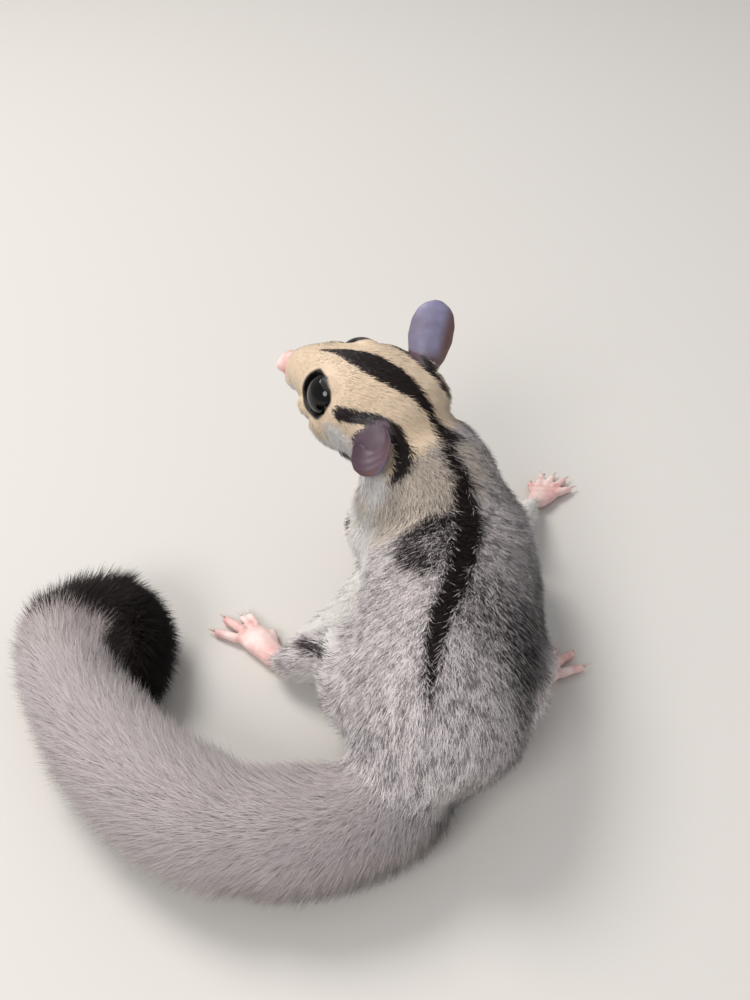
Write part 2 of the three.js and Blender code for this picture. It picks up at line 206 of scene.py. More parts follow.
floorPlan = {"radius": 2.5, "sides": 96, "colour": (0.64, 0.615, 0.585), "roughness": 0.7}


def makeFloor():
    bm = bmesh.new()
    bmesh.ops.create_circle(bm, cap_ends=True, radius=floorPlan["radius"], segments=floorPlan["sides"])
    floor = meshObject("floor", bm)
    material, _, shader = newMaterial("floor")
    shader.inputs["Base Color"].default_value = (*floorPlan["colour"], 1)
    shader.inputs["Roughness"].default_value = floorPlan["roughness"]
    floor.data.materials.append(material)


def meshObject(name, bm):
    mesh = bpy.data.meshes.new(name)
    bm.to_mesh(mesh)
    bm.free()
    thing = bpy.data.objects.new(name, mesh)
    bpy.context.scene.collection.objects.link(thing)
    return thing


# Mesh arrays

def pointsOf(mesh):
    points = np.empty(len(mesh.vertices) * 3, dtype=np.float32)
    mesh.vertices.foreach_get("co", points)
    return points.reshape(-1, 3).astype(float)


def normalsOf(mesh):
    normals = np.empty(len(mesh.vertices) * 3, dtype=np.float32)
    mesh.vertex_normals.foreach_get("vector", normals)
    return normals.reshape(-1, 3).astype(float)


def movePoints(mesh, points):
    mesh.vertices.foreach_set("co", points.astype(np.float32).ravel())
    mesh.update()


def linksOf(mesh):
    ends = np.empty(len(mesh.edges) * 2, dtype=np.int32)
    mesh.edges.foreach_get("vertices", ends)
    return ends.reshape(-1, 2)


def shadedSmooth(mesh):
    mesh.polygons.foreach_set("use_smooth", np.ones(len(mesh.polygons), dtype=bool))


def unit(vectors):
    return vectors / np.maximum(np.linalg.norm(vectors, axis=1, keepdims=True), 1e-12)


def evened(values, links, rounds, share=0.5):
    one, two = links[:, 0], links[:, 1]
    count = len(values)
    degree = np.maximum(np.bincount(one, minlength=count) + np.bincount(two, minlength=count), 1)
    flat = values.reshape(count, -1).copy()
    for _ in range(rounds):
        for column in range(flat.shape[1]):
            line = flat[:, column]
            sums = np.bincount(one, line[two], count) + np.bincount(two, line[one], count)
            flat[:, column] = line + share * (sums / degree - line)
    return flat.reshape(values.shape)


def applied(thing):
    graph = bpy.context.evaluated_depsgraph_get()
    mesh = bpy.data.meshes.new_from_object(thing.evaluated_get(graph))
    old = thing.data
    thing.modifiers.clear()
    thing.data = mesh
    bpy.data.meshes.remove(old)
    return thing


def remeshed(thing, voxel):
    modifier = thing.modifiers.new("voxels", "REMESH")
    modifier.mode = "VOXEL"
    modifier.voxel_size = voxel * mm
    return applied(thing)


def combined(thing, other, operation):
    modifier = thing.modifiers.new(operation, "BOOLEAN")
    modifier.operation = operation
    modifier.solver = "MANIFOLD"
    modifier.object = other
    applied(thing)
    bpy.data.objects.remove(other)
    return thing


def gathered(name, nodes, swell):
    bm = bmesh.new()
    for node in nodes:
        part = bmesh.new()
        part.from_mesh(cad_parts[node].data)
        bmesh.ops.remove_doubles(part, verts=part.verts, dist=skinPlan["join"] * mm)
        part.normal_update()
        moves = [vert.normal * swell * mm for vert in part.verts]
        for vert, move in zip(part.verts, moves):
            vert.co += move
        holder = bpy.data.meshes.new(node)
        part.to_mesh(holder)
        part.free()
        bm.from_mesh(holder)
        bpy.data.meshes.remove(holder)
    return meshObject(name, bm)


def ballObject(name, middle, radii, turn=None, detail=24):
    bm = bmesh.new()
    bmesh.ops.create_uvsphere(bm, u_segments=detail, v_segments=detail // 2, radius=1)
    bmesh.ops.scale(bm, vec=Vector(radii) * mm, verts=bm.verts)
    if turn is not None:
        bmesh.ops.rotate(bm, cent=(0, 0, 0), matrix=turn, verts=bm.verts)
    bmesh.ops.transform(bm, matrix=headPlace @ Matrix.Translation(Vector(middle) * mm), verts=bm.verts)
    return meshObject(name, bm)


# Balls at places given as middle and radii, each mirrored to the other side unless it is in the middle
def ballsOf(name, places):
    balls = []
    for (ahead, aside, rise), radii in places:
        for side in bothSides(aside):
            balls.append(ballObject(name, (ahead, aside * side, rise), radii))
    return balls


def bothSides(aside):
    return (1, -1) if aside else (1,)


def joinedObjects(things):
    bm = bmesh.new()
    for thing in things:
        bm.from_mesh(thing.data)
    name = things[0].name
    for thing in things:
        bpy.data.objects.remove(thing)
    return meshObject(name, bm)


# Coat lengths

# depth is how far the skin lies under the tips, and lift the angle at which the hair leaves it
coatPlan = {
    "head": {"depth": 1.0, "length": 2.2, "lift": 24, "width": 0.13, "density": 5.5, "path": "head"},
    "neck": {"depth": 2.7, "length": 5.0, "lift": 36, "width": 0.17, "density": 6.0, "path": "neck"},
    "trunk": {"depth": 2.9, "length": 5.4, "lift": 37, "width": 0.19, "density": 5.4, "path": "trunk"},
    "tail_base": {"depth": 4.4, "length": 8.2, "lift": 44, "width": 0.20, "density": 5.4, "path": "tail"},
    "tail_middle": {"depth": 5.4, "length": 9.6, "lift": 48, "width": 0.20, "density": 5.4, "path": "tail"},
    "tail_end": {"depth": 5.0, "length": 9.0, "lift": 48, "width": 0.20, "density": 5.6, "path": "tail"},
    "tail_tip": {"depth": 4.4, "length": 8.4, "lift": 46, "width": 0.20, "density": 6.0, "path": "tail"},
}
pairPlan = {
    "fore_leg": {
        "depth": 1.5, "length": 3.4, "lift": 30, "width": 0.16, "density": 6.0, "path": "fore_leg_{}",
    },
    "hind_leg": {
        "depth": 2.0, "length": 4.4, "lift": 30, "width": 0.17, "density": 6.0, "path": "hind_leg_{}",
    },
    "patagium": {
        "depth": 0.8, "length": 3.2, "lift": 22, "width": 0.15, "density": 6.0, "path": "patagium_{}",
    },
    "hand": {"depth": 0.1, "length": 1.1, "lift": 14, "width": 0.07, "density": 4.0, "path": "fore_leg_{}"},
    "foot": {"depth": 0.1, "length": 1.1, "lift": 14, "width": 0.07, "density": 4.0, "path": "hind_leg_{}"},
    "ear": {"depth": 0.0, "length": 1.2, "lift": 20, "width": 0.08, "density": 4.0, "path": "head"},
}
for pair, plan in pairPlan.items():
    for side in ("left", "right"):
        coatPlan[f"{pair}_{side}"] = {**plan, "path": plan["path"].format(side)}
coatPlan["nose"] = {"depth": 0.0, "length": 0.8, "lift": 12, "width": 0.08, "density": 0.0, "path": "head"}
fleshNodes = list(coatPlan)
pawNodes = ["hand_left", "hand_right", "foot_left", "foot_right"]
earNodes = ["ear_left", "ear_right"]
bodyNodes = [name for name in fleshNodes if name not in pawNodes + earNodes + ["nose"]]

# The face's hair grows longer from the nose to the back of the skull
faceRun = {"from": 45, "to": 2, "power": 1.3, "depth": (0.3, 1.5), "length": (0.8, 3.8)}


def nodeTree():
    points, faces, owner = [], [], []
    for index, name in enumerate(fleshNodes):
        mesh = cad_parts[name].data
        mesh.calc_loop_triangles()
        start = len(points)
        points.extend(v.co.copy() for v in mesh.vertices)
        for triangle in mesh.loop_triangles:
            faces.append([start + corner for corner in triangle.vertices])
            owner.append(index)
    return BVHTree.FromPolygons(points, faces), np.array(owner)


fleshTree, fleshOwner = nodeTree()


def ownersOf(points):
    found = [fleshTree.find_nearest(Vector(point))[2] for point in points]
    return fleshOwner[np.array(found)]


def perNode(owners, key):
    return np.array([coatPlan[name][key] for name in fleshNodes])[owners]


def faceShare(points):
    ahead = toHead(points)[:, 0]
    span = faceRun["from"] - faceRun["to"]
    return np.clip((faceRun["from"] - ahead) / span, 0, 1)


def coatValue(points, owners, key):
    values = perNode(owners, key).astype(float)
    if key in ("depth", "length"):
        onHead = owners == fleshNodes.index("head")
        first, last = faceRun[key]
        values[onHead] = (first + (last - first) * faceShare(points) ** faceRun["power"])[onHead]
    return values


# Skin

# The rounds are of smoothing: before the skin is pushed in, on its depth, and after
skinPlan = {
    "join": 0.001,
    "weld": 0.02,
    "swell": 0.3,
    "bodyVoxel": 1.15,
    "bodyRounds": (10, 14, 5),
    "bodyExtra": 0.3,
    "bodyRise": 0.1,
    "headVoxel": 0.42,
    "headRounds": (24, 20, 4),
    "pawVoxel": 0.37,
    "pawRounds": 5,
    "soleHeight": 0.35,
    "soleRise": 0.02,
}


def pushedIn(thing, rounds, extra=0.0):
    mesh = thing.data
    points = pointsOf(mesh)
    links = linksOf(mesh)
    owners = ownersOf(points)
    depth = evened(coatValue(points, owners, "depth"), links, rounds) + extra
    movePoints(mesh, points - normalsOf(mesh) * depth[:, None] * mm)
    return thing


def eyeFrame(side):
    facing = np.array(lidPlan["facing"]) * (1, side, 1)
    facing /= np.linalg.norm(facing)
    corner = np.array([1.0, 0, 0]) - facing * facing[0]
    corner /= np.linalg.norm(corner)
    middle = np.array([headPlan["eyeForward"], side * headPlan["eyeAside"], headPlan["eyeRise"]])
    return middle, facing, corner, np.cross(facing, corner)


# Angles are in degrees from the way that the eye faces: the opening's half angle, how much longer than
# high it is, and where the lid ends under the fur. dark is the bare black rim past the opening.
lidPlan = {
    "facing": (0.63, 0.75, 0.30),
    "opening": 68,
    "stretch": 2,
    "end": 112,
    "thickness": 0.26,
    "rim": 0.8,
    "tuck": 0.5,
    "turns": 56,
    "steps": 7,
    "dark": 2.0,
    "corner": 2,
}


def makeLid(side):
    middle, facing, corner, across = eyeFrame(side)
    radius, turns, steps = headPlan["eyeRadius"], lidPlan["turns"], lidPlan["steps"]
    points = []
    for turn in range(turns):
        angle = 2 * math.pi * turn / turns
        start = lidPlan["opening"] + lidPlan["stretch"] * math.cos(2 * angle)
        outward = corner * math.cos(angle) + across * math.sin(angle)
        for inner in (False, True):
            for rung in range(steps):
                share = rung / (steps - 1)
                share = 1 - share if inner else share
                polar = math.radians(start + (lidPlan["end"] - start) * share)
                swell = lidPlan["thickness"] * (lidPlan["rim"] + share)
                reach = radius - lidPlan["tuck"] if inner else radius + swell
                ahead = facing * math.cos(polar) * headPlan["eyeFlat"]
                points.append(middle + reach * (ahead + outward * math.sin(polar)))
    ring = steps * 2
    bm = bmesh.new()
    verts = [bm.verts.new(p) for p in fromHead(np.array(points))]
    for turn in range(turns):
        here, there = turn * ring, (turn + 1) % turns * ring
        for rung in range(ring):
            onward = (rung + 1) % ring
            corners = (here + rung, here + onward, there + onward, there + rung)
            bm.faces.new([verts[index] for index in corners])
    bmesh.ops.recalc_face_normals(bm, faces=bm.faces)
    return meshObject("lid", bm)


# Soft forms of the face, as ellipsoids in the head's frame: middle, radii
facePlan = {
    "brow": ((26.5, 7.6, 7.6), (4.6, 2.6, 2.2)),
    "cheek": ((24.0, 10.4, -4.5), (7.0, 4.2, 5.4)),
    "underEye": ((31.0, 9.3, -3.4), (4.6, 2.9, 3.0)),
    "whiskerPad": ((40.4, 3.2, -7.0), (3.6, 2.3, 2.3)),
    "chin": ((38.6, 0, -9.9), (4.6, 2.4, 1.7)),
}
nosePlan = {
    "pad": ((45.3, 0, -6.1), (2.6, 3.1, 2.5)),
    "bridge": ((43.4, 0, -4.5), (3.4, 2.8, 2.0)),
    "wing": ((45.9, 1.9, -6.3), (1.8, 1.6, 1.7)),
    "lip": ((44.4, 1.35, -8.0), (1.9, 1.5, 1.3)),
    "nostril": ((47.2, 2.3, -6.5), (1.2, 0.5, 0.65)),
    "groove": ((48.1, 0, -7.2), (1.2, 0.18, 2.1)),
    "nostrilTurn": 38,
    "voxel": 0.16,
    "rounds": 10,
}
mouthPlan = {
    "from": (45.2, 0.4, -9.1), "middle": (40.5, 3.9, -9.7), "to": (34.6, 7.2, -8.8),
    "depth": 0.5, "width": 0.45, "steps": 40,
}
# Further than any mark reaches, in millimetres
far = 99.0


def mouthDistance(points):
    local = toHead(points)
    local[:, 1] = np.abs(local[:, 1])
    start, bend, end = (np.array(mouthPlan[key], dtype=float) for key in ("from", "middle", "to"))
    share = np.linspace(0, 1, mouthPlan["steps"])[:, None]
    line = (1 - share) ** 2 * start + 2 * share * (1 - share) * bend + share**2 * end
    away = np.full(len(local), far)
    for spot in line:
        away = np.minimum(away, np.linalg.norm(local - spot, axis=1))
    return away


def makeHeadSkin():
    before, onDepth, after = skinPlan["headRounds"]
    head = gathered("skin_head", ["head"], 0.0)
    remeshed(head, skinPlan["headVoxel"])
    movePoints(head.data, evened(pointsOf(head.data), linksOf(head.data), before))
    pushedIn(head, onDepth)
    head = joinedObjects([head] + ballsOf("form", facePlan.values()) + [makeLid(side) for side in (1, -1)])
    head.name = "skin_head"
    remeshed(head, skinPlan["headVoxel"])
    mesh = head.data
    points = evened(pointsOf(mesh), linksOf(mesh), after)
    movePoints(mesh, points)
    groove = np.exp(-((mouthDistance(points) / mouthPlan["width"]) ** 2)) * mouthPlan["depth"] * mm
    movePoints(mesh, points - normalsOf(mesh) * groove[:, None])
    return head


def makeNoseSkin():
    solids = ballsOf("nose_skin", [nosePlan[key] for key in ("pad", "bridge", "wing", "lip")])
    nose = remeshed(joinedObjects(solids), nosePlan["voxel"])
    mesh = nose.data
    movePoints(mesh, evened(pointsOf(mesh), linksOf(mesh), nosePlan["rounds"]))
    for key in ("nostril", "groove"):
        (ahead, aside, rise), radii = nosePlan[key]
        for side in bothSides(aside):
            turn = Matrix.Rotation(math.radians(nosePlan["nostrilTurn"] * side), 3, "Z") if aside else None
            combined(nose, ballObject("cut", (ahead, aside * side, rise), radii, turn), "DIFFERENCE")
    return nose


# Ears: root, tip and facing in the head's frame, as the solids have them
earPlan = {
    "ear_left": {
        "root": (13.0, 13.0, 7.2), "tip": (4.6, 23.6, 11.4), "facing": (0.3, 0.55, 0.8),
        "bend": -1.6, "fold": 2.4, "widths": [0.60, 0.84, 1.0, 0.88, 0.62, 0.36, 0.08],
    },
    "ear_right": {
        "root": (13.4, -13.0, 7.4), "tip": (19.0, -24.4, 15.4), "facing": (0.5, -0.6, -0.6),
        "bend": 1.2, "fold": 0.8, "widths": [0.50, 0.80, 1.0, 0.97, 0.80, 0.54, 0.14],
    },
    "stops": [0, 0.18, 0.45, 0.68, 0.84, 0.94, 1.0],
    "depths": [0.85, 1.0, 1.0, 0.85, 0.6, 0.35, 0.1],
    "length": 16,
    "halfWidth": 6,
    "depth": 3.0,
    "roundness": 2.6,
    "wall": 0.55,
    "rootWall": 1.2,
    "tipThinner": 0.45,
    "buried": 1.6,
    "ribs": 34,
    "ribDepth": 0.14,
    "ribsFrom": 0.25,
    "foldFrom": 0.62,
    "foldPower": 1.5,
    "foldInward": 0.55,
    "rows": 26,
    "columns": 22,
    "softening": (3, 0.4),
    "bareFrom": 3.5,
    "bareTo": 18,
    "shortAt": (2.5, 0, 4),
    "shortReach": (6, 11),
    "shortest": 0.45,
}
# The hollow of an ear, from its wall outwards
cupPlan = {"behind": 0.3, "ahead": 1.6, "aside": 5.3, "from": -1.2, "to": 14}


def earFrame(name):
    root, tip, facing = (Vector(earPlan[name][key]) for key in ("root", "tip", "facing"))
    length = (tip - root).normalized()
    face = (facing - length * facing.dot(length)).normalized()
    place = Matrix((face, length.cross(face), length)).transposed().to_4x4()
    place.translation = root * mm
    return headPlace @ place


def toEar(name, points):
    place = earFrame(name)
    return (points - np.array(place.translation)) @ np.array(place.to_3x3()) / mm


# The part of the head that lies in the hollow of an ear
def inCup(name, points):
    place = toEar(name, points)
    ahead, aside, along = place[:, 0], np.abs(place[:, 1]), place[:, 2]
    wall = -earPlan["depth"] * (1 - np.clip(aside / earPlan["halfWidth"], 0, 1) ** earPlan["roundness"])
    within = (ahead > wall - cupPlan["behind"]) & (ahead < cupPlan["ahead"]) & (aside < cupPlan["aside"])
    return within & (along > cupPlan["from"]) & (along < cupPlan["to"])


def earPoint(plan, share, across, inset):
    wide = np.interp(share, earPlan["stops"], plan["widths"]) * earPlan["halfWidth"]
    deep = np.interp(share, earPlan["stops"], earPlan["depths"]) * earPlan["depth"]
    hollow = -deep * (1 - abs(across) ** earPlan["roundness"])
    rib = earPlan["ribDepth"] * math.sin(share * earPlan["ribs"]) * (1 - across * across)
    rib *= share > earPlan["ribsFrom"]
    folded = max(0, abs(across) - earPlan["foldFrom"]) ** earPlan["foldPower"]
    roll = plan["fold"] * folded * math.sin(math.pi * min(1, share * 1.1))
    lean = -plan["bend"] * share * share
    x = hollow + lean + rib + roll - inset
    y = across * (wide - earPlan["foldInward"] * roll)
    z = share * earPlan["length"] - earPlan["buried"] * (1 - share)
    return x, y, z


def makeEar(name):
    plan, rows, columns = earPlan[name], earPlan["rows"], earPlan["columns"]
    bm = bmesh.new()
    for inset in (0, earPlan["wall"]):
        for row in range(rows + 1):
            share = row / rows
            thin = inset * (earPlan["rootWall"] - earPlan["tipThinner"] * share)
            for column in range(columns + 1):
                spot = earPoint(plan, share, column / columns * 2 - 1, thin)
                bm.verts.new(Vector(spot) * mm)
    bm.verts.ensure_lookup_table()
    wide = columns + 1
    sheet = wide * (rows + 1)
    for layer in (0, 1):
        for row in range(rows):
            for column in range(columns):
                a = layer * sheet + row * wide + column
                corners = [a, a + 1, a + wide + 1, a + wide]
                bm.faces.new([bm.verts[c] for c in (corners if layer == 0 else reversed(corners))])
    rim = [row * wide for row in range(rows)] + [rows * wide + c for c in range(columns)]
    rim += [row * wide + columns for row in range(rows, 0, -1)] + list(range(columns, 0, -1))
    for here, onward in zip(rim, rim[1:] + rim[:1]):
        bm.faces.new([bm.verts[c] for c in (here, onward, onward + sheet, here + sheet)])
    bmesh.ops.recalc_face_normals(bm, faces=bm.faces)
    bmesh.ops.subdivide_edges(bm, edges=bm.edges, cuts=1, use_grid_fill=True)
    rounds, factor = earPlan["softening"]
    axes = {"use_axis_x": True, "use_axis_y": True, "use_axis_z": True}
    for _ in range(rounds):
        bmesh.ops.smooth_vert(bm, verts=bm.verts, factor=factor, **axes)
    bmesh.ops.transform(bm, matrix=earFrame(name), verts=bm.verts)
    return meshObject(name + "_skin", bm)


# Paws: fine creases cross each toe, counted back from its claw
pawPlan = {
    "creaseStep": 1.15, "creaseDepth": 0.07, "creaseReach": 7.5, "creaseHeight": 0.8,
    "furFrom": 5, "furTo": 11, "furHeight": 1.5,
}


def clawsOf(paw):
    return sorted(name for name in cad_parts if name.startswith(paw + "_claw"))


def makePaw(name):
    paw = remeshed(gathered(name + "_skin", [name], 0.0), skinPlan["pawVoxel"])
    mesh = paw.data
    points = evened(pointsOf(mesh), linksOf(mesh), skinPlan["pawRounds"])
    low = points[:, 2] < skinPlan["soleHeight"] * mm
    points[low, 2] = np.maximum(points[low, 2], skinPlan["soleRise"] * mm)
    middle = np.array(boxMiddle(name))
    tips = np.array([boxMiddle(claw) for claw in clawsOf(name)])
    away = np.linalg.norm(points[:, None, :] - tips[None, :, :], axis=2)
    nearest = away.argmin(axis=1)
    reach = away.min(axis=1) / mm
    outward = unit(tips - middle)[nearest]
    run = ((tips[nearest] - points) * outward).sum(axis=1) / mm
    height = points[:, 2] / mm / pawPlan["creaseHeight"]
    fade = np.clip(1 - reach / pawPlan["creaseReach"], 0, 1) * np.clip(height - 1, 0, 1)
    wave = np.maximum(0, np.cos(run / pawPlan["creaseStep"] * 2 * math.pi)) ** 4
    movePoints(mesh, points)
    sink = wave * fade * pawPlan["creaseDepth"] * mm
    movePoints(mesh, points - normalsOf(mesh) * sink[:, None])
    return paw


def makeBodySkin():
    body = gathered("skin", bodyNodes, skinPlan["swell"])
    remeshed(body, skinPlan["bodyVoxel"])
    mesh = body.data
    before, onDepth, after = skinPlan["bodyRounds"]
    movePoints(mesh, evened(pointsOf(mesh), linksOf(mesh), before))
    pushedIn(body, onDepth, skinPlan["bodyExtra"])
    points = evened(pointsOf(mesh), linksOf(mesh), after)
    points[:, 2] = np.maximum(points[:, 2], skinPlan["bodyRise"] * mm)
    movePoints(mesh, points)
    return body


def makeSkin():
    skin = makeBodySkin()
    pieces = [makeHeadSkin(), makeNoseSkin(), makeEar("ear_left"), makeEar("ear_right")]
    pieces += [makePaw(name) for name in pawNodes]
    for piece in pieces:
        combined(skin, piece, "UNION")
    bm = bmesh.new()
    bm.from_mesh(skin.data)
    bmesh.ops.remove_doubles(bm, verts=bm.verts, dist=skinPlan["weld"] * mm)
    bmesh.ops.triangulate(bm, faces=bm.faces)
    bm.to_mesh(skin.data)
    bm.free()
    shadedSmooth(skin.data)
    skin.data.update()
    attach(skin, "root")
    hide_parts(*fleshNodes)
    return skin


# Markings and painted shade, each a mask from 0 to 1 at a point, in millimetres of the head's frame or of the
# pose

def step(values, low, high):
    share = np.clip((values - low) / (high - low), 0, 1)
    return share * share * (3 - 2 * share)


def lineMask(points, normals, line, edge=0.8, lift=9):
    spots = np.array([entry[:3] for entry in line], dtype=float)
    widths = np.array([entry[3] for entry in line], dtype=float)
    best = np.full(len(points), far)
    for a, b, wideA, wideB in zip(spots[:-1], spots[1:], widths[:-1], widths[1:]):
        span = b - a
        share = np.clip(((points - a) @ span) / (span @ span), 0, 1)
        gap = points - (a + share[:, None] * span)
        rise = (gap * normals).sum(axis=1)
        flat = np.linalg.norm(gap - rise[:, None] * normals, axis=1)
        flat = np.where(np.abs(rise) < lift, flat, far)
        best = np.minimum(best, flat - (wideA + (wideB - wideA) * share))
    return 1 - step(best, -edge, edge)


def patchMask(points, middle, radii, edge=0.45):
    away = np.linalg.norm((points - np.array(middle)) / np.array(radii), axis=1)
    return 1 - step(away, 1 - edge, 1 + edge)


# A line is a row of points with half widths. A patch has a strength, a middle, radii and the softness
# of its edge. Those of the head are in its own frame, and the others in the pose's.
markPlan = {
    "faceStripe": [
        (38.5, -0.4, 6.0, 0.1), (34.5, -0.8, 8.2, 0.7), (31, -1.0, 10, 1.6), (27, -1.1, 11.6, 2.8),
        (22.5, -1.1, 12.6, 3.5), (18, -1.0, 13.6, 3.6), (13, -0.6, 13.8, 2.8), (8, -0.2, 13, 1.9),
        (3, 0, 11.5, 1.6), (-3, 0, 9.5, 1.6),
    ],
    "backStripe": [
        (15.5, -40.5, 58.5, 1.8), (16.8, -46.5, 57.5, 1.9), (19.6, -52, 55.5, 2.6), (21.4, -59, 53.5, 3.1),
        (21.6, -68, 52, 3.5), (19.8, -76, 50.5, 3.2), (17.2, -84, 49.5, 3.0), (14.4, -91, 48.8, 2.7),
        (12.6, -99, 48, 2.3), (11.4, -106.5, 46.5, 1.5), (10.7, -111.5, 45, 0.9), (10.2, -118, 43, 0.2),
    ],
    "earBand": [
        (22.4, 12.4, 6.6, 1.7), (20.2, 12.6, 8.0, 1.9), (16.8, 11.9, 9.2, 1.7), (13, 10.6, 10.4, 1.6),
        (8.6, 10.4, 10.2, 1.9), (5.2, 12.0, 9.6, 2.1), (3.0, 14.8, 8.4, 2.1), (2.6, 17.2, 5.6, 1.3),
    ],
    "shoulder": [
        (18, -62.5, 51, 2.6), (12, -65, 50.5, 3.6), (7.5, -67.5, 48, 4.0), (8, -73, 48, 4.6),
        (11, -77, 49, 3.6),
    ],
    # The crease line is painted shade: a dark line along the fold in front of the left hip.
    "crease": [
        (-5, -70, 33, 0.3), (-2.8, -71.4, 36.8, 0.6), (-0.7, -74.5, 41.4, 0.6), (4.5, -76.3, 46.5, 0.2),
    ],
    # The knee line is painted shade: dark in the gap between the left knee and ankle.
    "knee": [(-16.5, -73, 17, 1.8), (-13.5, -80, 22, 2.8), (-11.2, -89, 27.5, 1.8)],
    "softLines": {"shoulder": (0.72, 2.6), "crease": (0.75, 0.7), "knee": (0.88, 1.8)},
    "darkPatches": [
        (0.56, (14, -71, 50), (8, 9, 8), 0.45),
        (0.60, (33, -93, 38), (10, 18, 13), 0.7),
        (0.47, (25, -89, 46), (10, 15, 10), 0.7),
        (0.66, (-6.4, -42.5, 28), (4, 3, 3.4), 0.8),
    ],
    "underEar": ((15.0, 16.8, -3.4), (4.6, 3.6, 2.3), 0.35),
    "palePatches": [
        (0.8, (-3.5, -53, 30), (8, 16, 16), 0.5),
        (1.0, (-9.5, -80, 29), (3.5, 12, 6.5), 0.5),
        (1.0, (-6, -38, 40), (7, 12, 14), 0.4),
        (1.0, (45, -16, 9), (6, 13, 8), 0.4),
        (0.9, (-12, -83, 8), (12, 8, 7), 0.45),
    ],
    "behindEar": ((7.5, 19.5, 1.5), (6.5, 5, 4.5), 0.4),
    "aheadOfEar": ((20.0, 15.6, 0.8), (5.2, 4.4, 3.8), 0.5),
    "tanPatches": [
        (1.0, (9, -53, 46), (15, 12, 14), 0.5),
        (0.7, (14, -47, 52), (14, 10, 10), 0.5),
    ],
    "palePatagium": {"patagium_left": 0.95, "patagium_right": 0.7},
    "legPale": (0.8, 6, 11),
    "nose": (46.2, 0, -6.6),
    "noseReach": (3.4, 6.6),
    "headMiddle": (12, 0, 0),
    "headReach": 36,
    "tailTip": (0.685, 0.745),
    "tailTan": (0.60, 0.74),
    "tailCell": 4,
}


def patchesAt(points, patches):
    best = np.zeros(len(points))
    for strength, middle, radii, edge in patches:
        best = np.maximum(best, strength * patchMask(points, middle, radii, edge))
    return best


def headMarks(points, normals):
    local = toHead(points)
    facing = normals @ headTurn
    sided, sidedFacing = local.copy(), facing.copy()
    sided[:, 1] = np.abs(local[:, 1])
    sidedFacing[:, 1] = facing[:, 1] * np.where(local[:, 1] < 0, -1, 1)
    top = step(facing[:, 2], 0.05, 0.35)
    dark = lineMask(local, facing, markPlan["faceStripe"], edge=0.55) * top
    dark = np.maximum(dark, lineMask(sided, sidedFacing, markPlan["earBand"], edge=0.7, lift=4))
    dark = np.maximum(dark, patchMask(sided, *markPlan["underEar"]))
    return local, sided, dark, eyeRing(sided)


# The bare black rim of the lids, drawn out to a point at the eye's front corner
def eyeRing(sided):
    middle, gaze, corner, across = eyeFrame(1)
    gap = sided - middle
    away = np.linalg.norm(gap, axis=1)
    ahead = gap @ gaze
    aside = np.linalg.norm(gap - ahead[:, None] * gaze, axis=1)
    polar = np.degrees(np.arctan2(aside, ahead / headPlan["eyeFlat"]))
    turn = np.arctan2(gap @ across, gap @ corner)
    opening = lidPlan["opening"] + lidPlan["stretch"] * np.cos(2 * turn)
    rim = opening + lidPlan["dark"] + lidPlan["corner"] * np.maximum(0, np.cos(turn)) ** 6
    return (1 - step(polar - rim, -1.5, 2.5)) * (1 - step(away - headPlan["eyeRadius"], 0.9, 1.5))


# Dark markings, with the painted shade of the crease and knee lines
def darkMarks(pose, normals, headDark, nearHead):
    back = lineMask(pose, normals, markPlan["backStripe"], edge=0.9) * step(normals[:, 2], 0.1, 0.4)
    dark = np.maximum(headDark * nearHead, back)
    for name, (strength, edge) in markPlan["softLines"].items():
        dark = np.maximum(dark, strength * lineMask(pose, normals, markPlan[name], edge=edge))
    return np.maximum(dark, patchesAt(pose, markPlan["darkPatches"]))


def paleMarks(pose, local, sided, under, nearHead, name):
    cheek = step(-sided[:, 2], 3.5, 8) * nearHead
    pale = np.maximum(under * 0.9, cheek * 0.8)
    pale = np.maximum(pale, patchesAt(pose, markPlan["palePatches"]))
    pale = np.maximum(pale, patchMask(local, *markPlan["behindEar"]))
    pale = np.maximum(pale, patchMask(sided, *markPlan["aheadOfEar"]))
    for fold, strength in markPlan["palePatagium"].items():
        pale = np.maximum(pale, (name == fold) * strength)
    strength, low, high = markPlan["legPale"]
    legs = np.char.find(name, "leg") >= 0
    return np.maximum(pale, legs * strength * step(-pose[:, 2], -high, -low))


